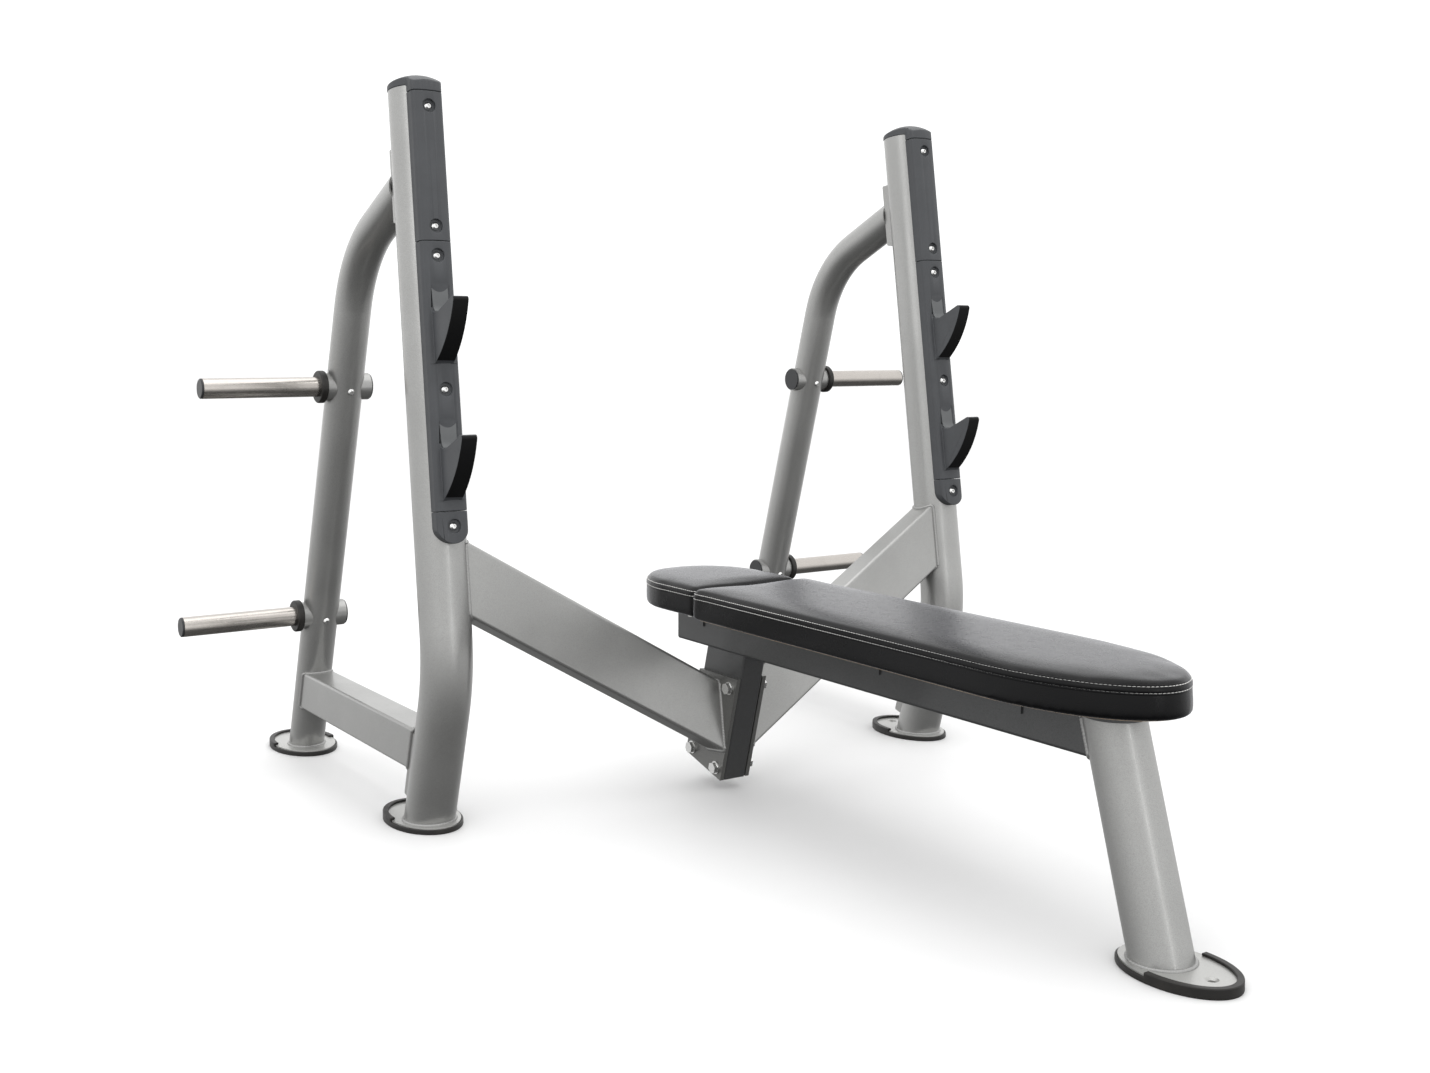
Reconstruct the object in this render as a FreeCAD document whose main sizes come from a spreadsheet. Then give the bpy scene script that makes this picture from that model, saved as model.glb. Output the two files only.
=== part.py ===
import FreeCAD, Part
import math
import os
import Sketcher

# Olympic bench press: two leaning racks, crossed frame, padded bench.  Millimetres, +Z up, +Y to the rear.
os.makedirs("parts", exist_ok=True)
doc = FreeCAD.newDocument("olympic_bench_press")
V = FreeCAD.Vector

# ---------------------------------------------------------------- sizes
SIZES = [
    ("main_tube_od", 89.0, "uprights and front leg, round steel tube"),
    ("main_tube_wall", 3.0, "wall of the main tubes"),
    ("rear_tube_od", 70.0, "bent rear tube"),
    ("rear_tube_wall", 3.0, "wall of the rear tube"),
    ("rack_half_span", 566.0, "centre of the bench to the centre of an upright"),
    ("lean_deg", 7.73, "backward lean of the upper uprights and of the cross beams"),
    ("lean_ref_y", 215.3, "a point of the upright's upper axis, also the height of the lowest rack screw"),
    ("lean_ref_z", 525.3, "a point of the upright's upper axis"),
    ("lower_tilt_deg", 16.45, "backward sweep of the upright below the knee"),
    ("lower_foot_y", 263.8, "upright's lower axis at the floor"),
    ("knee_radius", 330.0, "bend radius at the knee"),
    ("upright_top_v", 761.0, "top of the upright, along the lean, from the lowest rack screw"),
    ("rear_tilt_deg", 16.76, "lean of the rear tube"),
    ("rear_foot_y", 880.3, "rear tube's axis at the floor"),
    ("rear_bend_turn_deg", 48.5, "turn of the rear tube's top bend"),
    ("rear_bend_z", 1007.9, "height where the rear tube's two straight axes meet"),
    ("rear_bend_radius", 235.0, "centre-line radius of the top bend"),
    ("leg_tilt_deg", 15.6, "lean of the front leg"),
    ("leg_foot_y", -872.0, "front leg's axis at the floor"),
    ("foot_run_margin", 46.5, "steel foot plate beyond a main tube's wall, front and back"),
    ("foot_side_margin", 15.5, "steel foot plate beyond a main tube's wall, each side"),
    ("foot_length", "=main_tube_od + 2 * foot_run_margin", "steel foot plate, front to back"),
    ("foot_width", "=main_tube_od + 2 * foot_side_margin", "steel foot plate, side to side"),
    ("foot_plate_t", 8.0, "steel foot plate"),
    ("boot_floor", 3.0, "rubber under the plate"),
    ("boot_wall", 4.0, "rubber round the plate"),
    ("boot_lip_t", 4.0, "rubber lip over the plate"),
    ("boot_lip_w", 6.0, "reach of the lip over the plate"),
    ("anchor_bore", 12.0, "floor anchor hole"),
    ("anchor_offset", 55.0, "anchor hole from the centre of its plate"),
    ("upright_foot_ahead", 26.2, "centre of the upright's foot, behind the tube's axis at the floor"),
    ("rear_foot_ahead", 16.7, "centre of the rear foot, behind the tube's axis at the floor"),
    ("front_foot_ahead", 25.0, "centre of the front foot, ahead of the leg's axis at the floor"),
    ("cross_height", 112.0, "cross beam section, up the face"),
    ("cross_depth", 60.0, "cross beam section, front to back"),
    ("cross_slope_deg", 30.76, "slope of the cross beam in the leaning plane"),
    ("cross_ref_x", 52.0, "a point of the cross beam's axis"),
    ("cross_ref_v", -376.2, "a point of the cross beam's axis"),
    ("cross_wall", 3.0, "wall of the cross beam"),
    ("post_width", 50.0, "centre post, side to side"),
    ("post_depth", 120.0, "centre post, front to back"),
    ("post_wall", 4.0, "wall of the centre post"),
    ("post_tilt_deg", 15.5, "lean of the centre post"),
    ("post_ref_y", 141.0, "front lower corner of the centre post"),
    ("post_ref_z", 21.0, "front lower corner of the centre post"),
    ("flange_t", 8.0, "bolting plate on the end of a cross beam"),
    ("flange_top_drop", 44.5, "level top edge of the bolting plate, under the bench beam"),
    ("flange_bolt_edge", 19.0, "bolt centre from the edge of the plate"),
    ("flange_bolt_low", 18.0, "lower bolts, up the post"),
    ("flange_bolt_mid", 114.0, "rear upper bolt, up the post"),
    ("flange_bolt_high", 182.0, "front upper bolt, up the post"),
    ("flange_bolt", 12.0, "M12 through bolt"),
    ("flange_bolt_hole", 13.0, "clearance hole for M12"),
    ("bench_beam_w", 60.0, "bench beam section"),
    ("bench_beam_h", 60.0, "bench beam section"),
    ("bench_beam_wall", 3.0, "wall of the bench beam"),
    ("bench_beam_z", 266.0, "underside of the bench beam"),
    ("bench_beam_rear_y", 287.0, "rear end of the bench beam"),
    ("bracket_t", 16.0, "height of a cross bar under the pads, flat steel tube"),
    ("bracket_wall", 2.5, "wall of a cross bar"),
    ("bracket_length", 116.0, "cross bar, side to side"),
    ("bracket_width", 44.0, "cross bar, front to back"),
    ("ear_drop", 23.0, "reach of a cross bar's ears down the side of the beam"),
    ("ear_t", 3.0, "thickness of an ear"),
    ("board_t", 12.0, "plywood base of a pad"),
    ("board_inset", 10.0, "board inside the edge of its pad"),
    ("pad_t", 56.0, "foam and cover, round and over the board"),
    ("pad_half_width", 134.0, "half of the main pad's width"),
    ("pad_foot_y", -897.0, "foot end of the main pad"),
    ("pad_end_run", 257.0, "length of the main pad's rounded end"),
    ("pad_seam_y", 98.0, "head end of the main pad"),
    ("head_gap", 3.0, "gap between the two pads"),
    ("head_half_width", 122.0, "half of the head pad's width"),
    ("head_tip_y", 357.0, "head end of the head pad"),
    ("cover_half_width", 29.0, "half width of the plastic rack cover"),
    ("cover_stand", 16.8, "cover's front, ahead of the tube"),
    ("cover_gap", 0.2, "cover to tube"),
    ("cover_low_v", 25.4, "seam above the round end piece"),
    ("cover_mid_v", 486.5, "seam between the hook rack and the upper cover"),
    ("cover_top_drop", 13.5, "seam under the cap, below the top of the tube"),
    ("top_screw_drop", 40.0, "top screw, below the top of the tube"),
    ("cap_rise", 24.0, "top of the domed cap, above the top of the tube"),
    ("cap_dome_radius", 85.0, "sphere of the domed cap"),
    ("cap_dome_ahead", 8.0, "centre of that sphere, ahead of the tube's axis"),
    ("seam_gap", 0.8, "open line between the plastic pieces"),
    ("screw_recess", 24.0, "counterbore round a cover screw"),
    ("screw_recess_depth", 6.0, "depth of that counterbore"),
    ("screw_shank", 8.0, "M8 screw"),
    ("screw_head", 14.0, "M8 button head"),
    ("screw_head_h", 4.4, "M8 button head"),
    ("hook_pitch", 231.5, "distance between the two bar positions"),
    ("hook_trough_v", 361.5, "lowest point of the upper bar saddle"),
    ("hook_trough_ahead", 15.2, "middle of the bar saddle, ahead of the cover"),
    ("hook_reach", 79.7, "reach of the hook's tip, ahead of the cover"),
    ("hook_tip_width", 28.0, "width of the hook at its tip"),
    ("hook_root_width", 35.0, "width of the hook at the cover"),
    ("horn_od", 38.0, "weight storage horn"),
    ("horn_length", 219.5, "free length of the horn, outside the stop ring"),
    ("horn_shoulder", 2.0, "step of the horn against the stop ring; the tail behind it fits the sleeve"),
    ("horn_tail", 85.0, "length of the tail"),
    ("horn_high_z", 755.0, "upper horn"),
    ("horn_low_z", 292.0, "lower horn"),
    ("sleeve_wall", 9.0, "wall of the sleeve welded through the rear tube"),
    ("sleeve_inward", 46.0, "inner end of the sleeve, from the tube's axis"),
    ("sleeve_outward", 41.5, "outer end of the sleeve, from the tube's axis"),
    ("ring_height", 14.25, "rubber stop ring, from its bore to its rim"),
    ("ring_t", 13.5, "rubber stop ring"),
    ("brace_width", 60.0, "side brace, side to side"),
    ("brace_low_z", 96.0, "underside of the side brace"),
    ("brace_high_z", 171.0, "top of the side brace"),
    ("brace_wall", 3.0, "wall of the side brace"),
    ("saddle_half_width", 30.0, "half width of a joint block"),
    ("saddle_stand", 5.5, "flat face of a joint block, behind the upright"),
]
sheet = doc.addObject("Spreadsheet::Sheet", "sizes")
S = {}
for row, (alias, value, note) in enumerate(SIZES, start=1):
    sheet.set("A%d" % row, alias)
    sheet.set("B%d" % row, str(value))
    sheet.setAlias("B%d" % row, alias)
    sheet.set("C%d" % row, note)
doc.recompute()
for alias, value, note in SIZES:
    S[alias] = float(sheet.get(alias))

SIDES = (("left", -1.0), ("right", 1.0))
R_MAIN = S["main_tube_od"] / 2.0
R_REAR = S["rear_tube_od"] / 2.0
FACE_N = R_MAIN + S["saddle_stand"]
TAIL_R = S["horn_od"] / 2.0 - S["horn_shoulder"]
SLEEVE_R = TAIL_R + S["sleeve_wall"]
RING_R = TAIL_R + S["ring_height"]
SLEEVE_IN = S["rack_half_span"] - S["sleeve_inward"]
SLEEVE_OUT = S["rack_half_span"] + S["sleeve_outward"]
SHOULDER = SLEEVE_OUT + S["ring_t"]
HORN_END = SHOULDER + S["horn_length"]
COVER_TOP = S["upright_top_v"] - S["cover_top_drop"]
CAP_TOP = S["upright_top_v"] + S["cap_rise"]
PLATE_TOP = S["boot_floor"] + S["foot_plate_t"]
BEAM_TOP = S["bench_beam_z"] + S["bench_beam_h"]
PAD_Z = BEAM_TOP + S["bracket_t"]
NODES = {}


# ---------------------------------------------------------------- helpers
def turned(x, y, z, tilt_deg):
    """A frame at a point, tilted about X."""
    return FreeCAD.Placement(V(x, y, z), FreeCAD.Rotation(V(1, 0, 0), tilt_deg))


def lean_frame(x):
    return turned(x, S["lean_ref_y"], S["lean_ref_z"], -S["lean_deg"])


def lower_frame(x):
    return turned(x, S["lower_foot_y"], 0.0, S["lower_tilt_deg"])


def rear_frame(x):
    return turned(x, S["rear_foot_y"], 0.0, S["rear_tilt_deg"])


def leg_frame():
    return turned(0.0, S["leg_foot_y"], 0.0, -S["leg_tilt_deg"])


def post_frame():
    return turned(0.0, S["post_ref_y"], S["post_ref_z"], S["post_tilt_deg"])


FLAT = FreeCAD.Placement()


def moved(x, y, z):
    return FreeCAD.Placement(V(x, y, z), FreeCAD.Rotation())


def bind(obj, rules):
    for prop, expression in rules.items():
        obj.setExpression(prop, expression)
    return obj


def node(name, obj):
    obj.Label = name
    NODES[name] = obj
    return obj


def box(name, size, corner, frame=FLAT, rules=None):
    b = doc.addObject("Part::Box", name)
    b.Length, b.Width, b.Height = size
    b.Placement = frame.multiply(moved(*corner))
    return bind(b, rules or {})


def cylinder(name, radius, height, base, axis, frame=FLAT, rules=None):
    c = doc.addObject("Part::Cylinder", name)
    c.Radius = radius
    c.Height = height
    c.Placement = frame.multiply(FreeCAD.Placement(V(*base), FreeCAD.Rotation(V(0, 0, 1), V(*axis))))
    return bind(c, rules or {})


def cone(name, r1, r2, height, base, axis, frame=FLAT):
    c = doc.addObject("Part::Cone", name)
    c.Radius1 = r1
    c.Radius2 = r2
    c.Height = height
    c.Placement = frame.multiply(FreeCAD.Placement(V(*base), FreeCAD.Rotation(V(0, 0, 1), V(*axis))))
    return c


def fuse(name, shapes):
    f = doc.addObject("Part::MultiFuse", name)
    f.Shapes = shapes
    f.Refine = True
    return f


def cut(name, base, tools):
    c = doc.addObject("Part::Cut", name)
    c.Base = base
    c.Tool = tools[0] if len(tools) == 1 else fuse(name + "_tools", tools)
    return c


def common(name, shapes):
    c = doc.addObject("Part::MultiCommon", name)
    c.Shapes = shapes
    return c


def group(name, shapes):
    g = doc.addObject("Part::Compound", name)
    g.Links = shapes
    return g


def new_body(name, frame=FLAT):
    body = doc.addObject("PartDesign::Body", name)
    body.Placement = frame
    return body


def on_plane(body, name, role, offset=0.0):
    sketch = body.newObject("Sketcher::SketchObject", name)
    plane = [f for f in body.Origin.OriginFeatures if f.Role == role][0]
    sketch.AttachmentSupport = [(plane, "")]
    sketch.MapMode = "FlatFace"
    sketch.AttachmentOffset = FreeCAD.Placement(V(0, 0, offset), FreeCAD.Rotation())
    return sketch


def p3(p):
    return V(p[0], p[1], 0)


def draw(sketch, outline):
    """Segments given as ('line', a, b), ('arc', a, m, b), ('circle', c, r), ('ellipse', c, rx, ry)
    or ('end', c, rx, ry), the half of an ellipse on the +Y side, or -Y side with ry below zero."""
    for seg in outline:
        kind = seg[0]
        if kind == "line":
            sketch.addGeometry(Part.LineSegment(p3(seg[1]), p3(seg[2])), False)
        elif kind == "arc":
            sketch.addGeometry(Part.Arc(p3(seg[1]), p3(seg[2]), p3(seg[3])), False)
        elif kind == "circle":
            sketch.addGeometry(Part.Circle(p3(seg[1]), V(0, 0, 1), seg[2]), False)
        else:
            c = p3(seg[1])
            rx, ry = seg[2], abs(seg[3])
            along = V(rx, 0, 0) if rx >= ry else V(0, ry, 0)
            across = V(0, ry, 0) if rx >= ry else V(-rx, 0, 0)
            whole = Part.Ellipse(c + along, c + across, c)
            if kind == "ellipse":
                sketch.addGeometry(whole, False)
                continue
            tip = c + V(0, math.copysign(ry, seg[3]), 0)
            sides = sorted([c + V(-rx, 0, 0), c + V(rx, 0, 0)], key=lambda q: whole.parameter(q))
            a0, a1 = whole.parameter(sides[0]), whole.parameter(sides[1])
            if not a0 < whole.parameter(tip) < a1:
                a0, a1 = a1, a0 + 2 * math.pi
            sketch.addGeometry(Part.ArcOfEllipse(whole, a0, a1), False)


def closed(points):
    return [("line", points[i], points[(i + 1) % len(points)]) for i in range(len(points))]


def prism(name, role, outline, offset, length, frame=FLAT, length_rule=None):
    """A padded outline on one of the body's own planes."""
    body = new_body(name, frame)
    sketch = on_plane(body, name + "_outline", role, offset)
    draw(sketch, outline)
    pad = body.newObject("PartDesign::Pad", name + "_pad")
    pad.Profile = sketch
    pad.Length = length
    if length_rule:
        pad.setExpression("Length", length_rule)
    body.Tip = pad
    return body


def tube_body(name, frame, od, wall, straight, turn_deg, radius, upper):
    """A bent tube: straight up the frame's Z, a bend in the frame's YZ plane, then straight again."""
    body = new_body(name, frame)
    ring = on_plane(body, name + "_section", "XY_Plane")
    ring.addGeometry(Part.Circle(V(0, 0, 0), V(0, 0, 1), S[od] / 2.0), False)
    ring.addGeometry(Part.Circle(V(0, 0, 0), V(0, 0, 1), S[od] / 2.0 - S[wall]), False)
    ring.addConstraint(Sketcher.Constraint("Coincident", 0, 3, -1, 1))
    ring.addConstraint(Sketcher.Constraint("Coincident", 1, 3, -1, 1))
    outer = ring.addConstraint(Sketcher.Constraint("Radius", 0, S[od] / 2.0))
    inner = ring.addConstraint(Sketcher.Constraint("Radius", 1, S[od] / 2.0 - S[wall]))
    ring.setExpression("Constraints[%d]" % outer, "sizes.%s / 2" % od)
    ring.setExpression("Constraints[%d]" % inner, "sizes.%s / 2 - sizes.%s" % (od, wall))
    path = on_plane(body, name + "_path", "YZ_Plane")
    t = math.radians(abs(turn_deg))
    side = math.copysign(1.0, turn_deg)
    run = radius * math.tan(t / 2.0)
    a = V(0, straight - run, 0)
    mid = V(side * radius * (1 - math.cos(t / 2)), straight - run + radius * math.sin(t / 2), 0)
    b = V(side * radius * (1 - math.cos(t)), straight - run + radius * math.sin(t), 0)
    c = b + V(side * math.sin(t), math.cos(t), 0) * (upper - run)
    path.addGeometry(Part.LineSegment(V(0, 0, 0), a), False)
    path.addGeometry(Part.Arc(a, mid, b), False)
    path.addGeometry(Part.LineSegment(b, c), False)
    pipe = body.newObject("PartDesign::AdditivePipe", name + "_pipe")
    pipe.Profile = ring
    pipe.Spine = (path, ["Edge1", "Edge2", "Edge3"])
    body.Tip = pipe
    return body


def rounded(x0, y0, x1, y1, r):
    """A rectangle with round corners."""
    k = r * (1 - math.sqrt(0.5))
    return [
        ("line", (x0 + r, y0), (x1 - r, y0)), ("arc", (x1 - r, y0), (x1 - k, y0 + k), (x1, y0 + r)),
        ("line", (x1, y0 + r), (x1, y1 - r)), ("arc", (x1, y1 - r), (x1 - k, y1 - k), (x1 - r, y1)),
        ("line", (x1 - r, y1), (x0 + r, y1)), ("arc", (x0 + r, y1), (x0 + k, y1 - k), (x0, y1 - r)),
        ("line", (x0, y1 - r), (x0, y0 + r)), ("arc", (x0, y0 + r), (x0 + k, y0 + k), (x0 + r, y0)),
    ]


def hollow(x0, y0, x1, y1, wall, r):
    return rounded(x0, y0, x1, y1, r) + rounded(x0 + wall, y0 + wall, x1 - wall, y1 - wall, max(r - wall, 1.5))


def hexagon(across):
    r = across / math.sqrt(3.0)
    return closed([(r * math.cos(math.pi * i / 3), r * math.sin(math.pi * i / 3)) for i in range(6)])


def chained(first, *rest):
    out = first
    for r in rest:
        out = out.multiply(r)
    return out


# ---------------------------------------------------------------- uprights
knee_z = (S["lower_foot_y"] - S["lean_ref_y"] + math.tan(math.radians(S["lean_deg"])) * S["lean_ref_z"]) / (
    math.tan(math.radians(S["lean_deg"])) + math.tan(math.radians(S["lower_tilt_deg"])))
knee_run = knee_z / math.cos(math.radians(S["lower_tilt_deg"]))
knee_v = (knee_z - S["lean_ref_z"]) / math.cos(math.radians(S["lean_deg"]))
START = -25.0
SCREW_V = (0.0, S["hook_pitch"], 461.0, 512.0, S["upright_top_v"] - S["top_screw_drop"])
for side, sign in SIDES:
    x0 = sign * S["rack_half_span"]
    frame = chained(lower_frame(x0), moved(0, 0, START))
    tube = tube_body("upright_tube_" + side, frame, "main_tube_od", "main_tube_wall", knee_run - START,
                     S["lean_deg"] + S["lower_tilt_deg"], S["knee_radius"], S["upright_top_v"] - knee_v)
    tools = [box("upright_foot_trim_" + side, (300, 300, 100), (x0 - 150, 120, PLATE_TOP - 100))]
    for i, v in enumerate(SCREW_V):
        tools.append(cylinder("upright_screw_hole_%s_%d" % (side, i), 5.5, 30, (0, -R_MAIN - 10, v), (0, 1, 0),
                              lean_frame(x0)))
    node("upright_" + side, cut("upright_cut_" + side, tube, tools))

# ---------------------------------------------------------------- plastic rack covers, hooks and caps
R_FIT = R_MAIN + S["cover_gap"]
HW = S["cover_half_width"]
FN = R_MAIN + S["cover_stand"]
back_n = -math.sqrt(R_FIT ** 2 - HW ** 2)


def cover_section():
    return [
        ("line", (HW, back_n), (HW, -FN + 11.3)), ("arc", (HW, -FN + 11.3), (HW - 2.6, -FN + 5.4), (HW - 8, -FN + 2.5)),
        ("arc", (HW - 8, -FN + 2.5), (0, -FN), (-HW + 8, -FN + 2.5)),
        ("arc", (-HW + 8, -FN + 2.5), (-HW + 2.6, -FN + 5.4), (-HW, -FN + 11.3)),
        ("line", (-HW, -FN + 11.3), (-HW, back_n)), ("arc", (-HW, back_n), (0, -R_FIT), (HW, back_n)),
    ]


def hook_outline(v0):
    """Side view of one hook: (distance towards the front, height along the lean)."""
    n, v = -FN - S["hook_trough_ahead"], v0
    tip = -FN - S["hook_reach"]
    root = -R_MAIN - 5.5
    face = -FN + 0.8
    return [
        ("line", (root, v - 86.0), (face, v - 86.0)),
        ("arc", (face, v - 86.0), (0.573 * tip + 0.427 * face, v - 46.5), (tip + 1.2, v + 10.0)),
        ("arc", (tip + 1.2, v + 10.0), (tip + 2.4, v + 16.6), (tip + 9.0, v + 18.0)),
        ("line", (tip + 9.0, v + 18.0), (n - 6.0, v + 1.2)),
        ("arc", (n - 6.0, v + 1.2), (n + 1.5, v), (n + 9.5, v + 3.3)),
        ("line", (n + 9.5, v + 3.3), (root, v + 3.3)),
        ("line", (root, v + 3.3), (root, v - 86.0)),
    ]


def screw_cuts(side, x0, which, tag):
    out = []
    for v in which:
        label = "%s_%s_%d" % (tag, side, int(v))
        out.append(cylinder(label + "_recess", S["screw_recess"] / 2, 20, (0, -FN + S["screw_recess_depth"], v),
                            (0, -1, 0), lean_frame(x0), {"Radius": "sizes.screw_recess / 2"}))
        out.append(cylinder(label + "_bore", S["screw_shank"] / 2 + 0.3, 40, (0, -FN - 5, v), (0, 1, 0), lean_frame(x0),
                            {"Radius": "sizes.screw_shank / 2 + 0.3"}))
    return out


for side, sign in SIDES:
    x0 = sign * S["rack_half_span"]
    F = lean_frame(x0)
    # upper cover, plain channel over the tube
    upper = prism("upper_cover_block_" + side, "XY_Plane", cover_section(), S["cover_mid_v"] + S["seam_gap"] / 2,
                  COVER_TOP - S["cover_mid_v"] - S["seam_gap"], F,
                  "sizes.upright_top_v - sizes.cover_top_drop - sizes.cover_mid_v - sizes.seam_gap")
    node("upper_cover_" + side, cut("upper_cover_cut_" + side, upper, screw_cuts(side, x0, SCREW_V[3:], "upper")))
    # hook rack with two bar hooks
    rack = prism("rack_block_" + side, "XY_Plane", cover_section(), S["cover_low_v"] + S["seam_gap"] / 2,
                 S["cover_mid_v"] - S["cover_low_v"] - S["seam_gap"], F,
                 "sizes.cover_mid_v - sizes.cover_low_v - sizes.seam_gap")
    solids = [rack]
    scoops = []
    for k in range(2):
        v0 = S["hook_trough_v"] - k * S["hook_pitch"]
        blade = prism("hook_blade_%s_%d" % (side, k), "YZ_Plane", hook_outline(v0), -20.0, 40.0, F)
        taper = prism("hook_taper_%s_%d" % (side, k), "XY_Plane", closed([
            (-S["hook_root_width"] / 2, -FN + 12), (S["hook_root_width"] / 2, -FN + 12),
            (S["hook_tip_width"] / 2, -FN - S["hook_reach"] - 5),
            (-S["hook_tip_width"] / 2, -FN - S["hook_reach"] - 5)]),
            v0 - 100.0, 140.0, F)
        solids.append(common("hook_%s_%d" % (side, k), [blade, taper]))
        scoops.append(prism("hook_scoop_%s_%d" % (side, k), "YZ_Plane", [
            ("arc", (-FN - 10.7, v0 + 0.6), (-FN - 1.2, v0 + 5.0), (-FN + 2.1, v0 + 16.0)),
            ("line", (-FN + 2.1, v0 + 16.0), (-FN + 3.9, v0 + 45.0)),
            ("line", (-FN + 3.9, v0 + 45.0), (-FN - 2.7, v0 + 60.0)),
            ("line", (-FN - 2.7, v0 + 60.0), (-FN - 10.7, v0 + 0.6))], -17.0, 34.0, F))
    rack_all = fuse("rack_fused_" + side, solids)
    tools = screw_cuts(side, x0, SCREW_V[1:3], "rack") + scoops
    node("hook_rack_" + side, cut("hook_rack_cut_" + side, rack_all, tools))
    # round end piece
    low = prism("rack_end_block_" + side, "XY_Plane", cover_section(), -HW - 1.0, S["cover_low_v"] + HW + 1.0
                - S["seam_gap"] / 2, F)
    keep = fuse("rack_end_shape_" + side, [
        cylinder("rack_end_round_" + side, HW, 60, (0, -20, 0), (0, -1, 0), F, {"Radius": "sizes.cover_half_width"}),
        box("rack_end_square_" + side, (2 * HW, 60, 60), (-HW, -80, 0), F)])
    end = common("rack_end_round_off_" + side, [low, keep])
    node("rack_end_cap_" + side, cut("rack_end_cut_" + side, end, screw_cuts(side, x0, SCREW_V[:1], "end")))
    # domed cap over the tube and the cover
    top = S["upright_top_v"]
    crown = fuse("cap_blank_" + side, [
        cylinder("cap_disc_" + side, R_MAIN + 0.8, S["cap_rise"], (0, 0, top), (0, 0, 1), F,
                 {"Height": "sizes.cap_rise"}),
        prism("cap_front_" + side, "XY_Plane", cover_section()[:5] + [("line", (-HW, back_n), (HW, back_n))],
              COVER_TOP + S["seam_gap"] / 2, CAP_TOP - COVER_TOP, F),
        cylinder("cap_spigot_" + side, R_MAIN - S["main_tube_wall"] - 0.3, 18, (0, 0, top - 18), (0, 0, 1), F)])
    dome = doc.addObject("Part::Sphere", "cap_dome_" + side)
    dome.Radius = S["cap_dome_radius"]
    dome.setExpression("Radius", "sizes.cap_dome_radius")
    dome.Placement = chained(F, moved(0, -S["cap_dome_ahead"], CAP_TOP - S["cap_dome_radius"]))
    shaped = common("cap_domed_" + side, [crown, dome])
    relief = cut("cap_tube_relief_" + side, cylinder("cap_tube_outer_" + side, R_FIT, 60, (0, 0, top - 60), (0, 0, 1), F),
                 [cylinder("cap_tube_inner_" + side, R_MAIN - S["main_tube_wall"] - 0.3, 70, (0, 0, top - 65),
                           (0, 0, 1), F)])
    node("upright_cap_" + side, cut("upright_cap_cut_" + side, shaped, [relief]))

screws = []
inserts = []
for side, sign in SIDES:
    F = lean_frame(sign * S["rack_half_span"])
    seat = -FN + S["screw_recess_depth"]
    for i, v in enumerate(SCREW_V):
        tag = "%s_%d" % (side, i)
        head = fuse("screw_" + tag, [
            cylinder("screw_rim_" + tag, S["screw_head"] / 2, 1.4, (0, seat, v), (0, -1, 0), F,
                     {"Radius": "sizes.screw_head / 2"}),
            cone("screw_dome_" + tag, S["screw_head"] / 2, S["screw_head"] / 2 - 3.2, S["screw_head_h"] - 1.4,
                 (0, seat - 1.4, v), (0, -1, 0), F),
            cylinder("screw_shank_" + tag, S["screw_shank"] / 2, 24, (0, seat, v), (0, 1, 0), F,
                     {"Radius": "sizes.screw_shank / 2"})])
        socket = prism("screw_socket_" + tag, "XZ_Plane", hexagon(5.0), 0.0, 2.6,
                       chained(F, moved(0, seat - S["screw_head_h"] + 2.6, v)))
        screws.append(cut("screw_cut_" + tag, head, [socket]))
        ring = cut("insert_" + tag, cylinder("insert_outer_" + tag, 5.5, 14.0, (0, -R_MAIN + 0.4, v), (0, 1, 0), F),
                   [cylinder("insert_bore_" + tag, S["screw_shank"] / 2, 30, (0, -R_MAIN - 5, v), (0, 1, 0), F)])
        inserts.append(ring)
node("cover_screws", group("cover_screw_set", screws))
node("threaded_inserts", group("threaded_insert_set", inserts))

# ---------------------------------------------------------------- joint blocks on the backs of the uprights
REAR_RUN = S["rear_bend_z"] / math.cos(math.radians(S["rear_tilt_deg"]))
upper_angle = S["rear_bend_turn_deg"] + S["rear_tilt_deg"]
bend_y = S["rear_foot_y"] - S["rear_bend_z"] * math.tan(math.radians(S["rear_tilt_deg"]))


def lean_coords(y, z):
    a = math.radians(S["lean_deg"])
    dy, dz = y - S["lean_ref_y"], z - S["lean_ref_z"]
    return dy * math.cos(a) - dz * math.sin(a), dy * math.sin(a) + dz * math.cos(a)


up = (-math.sin(math.radians(upper_angle)), math.cos(math.radians(upper_angle)))
n_bend, v_bend = lean_coords(bend_y, S["rear_bend_z"])
n_dir, v_dir = lean_coords(bend_y + up[0], S["rear_bend_z"] + up[1])
joint_run = (n_bend - FACE_N) / (n_bend - n_dir)
joint_v = v_bend + joint_run * (v_dir - v_bend)
SH = S["saddle_half_width"]
high_blocks = []
low_blocks = []
for side, sign in SIDES:
    x0 = sign * S["rack_half_span"]
    block = prism("high_block_" + side, "YZ_Plane", rounded(R_MAIN - 16.5, joint_v - 65, FACE_N, joint_v + 65, 3.0),
                  -SH, 2 * SH, lean_frame(x0))
    seat = cylinder("high_block_seat_" + side, R_MAIN, 400, (0, 0, joint_v - 200), (0, 0, 1), lean_frame(x0),
                    {"Radius": "sizes.main_tube_od / 2"})
    high_blocks.append(cut("high_block_cut_" + side, block, [seat]))
    block = prism("low_block_" + side, "YZ_Plane", rounded(R_MAIN - 16.5, 38, FACE_N, 158, 3.0), -SH, 2 * SH,
                  lower_frame(x0))
    seat = cylinder("low_block_seat_" + side, R_MAIN, 400, (0, 0, -100), (0, 0, 1), lower_frame(x0),
                    {"Radius": "sizes.main_tube_od / 2"})
    low_blocks.append(cut("low_block_cut_" + side, block, [seat]))
node("rear_joint_blocks", group("rear_joint_block_set", high_blocks))
node("brace_joint_blocks", group("brace_joint_block_set", low_blocks))

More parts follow.
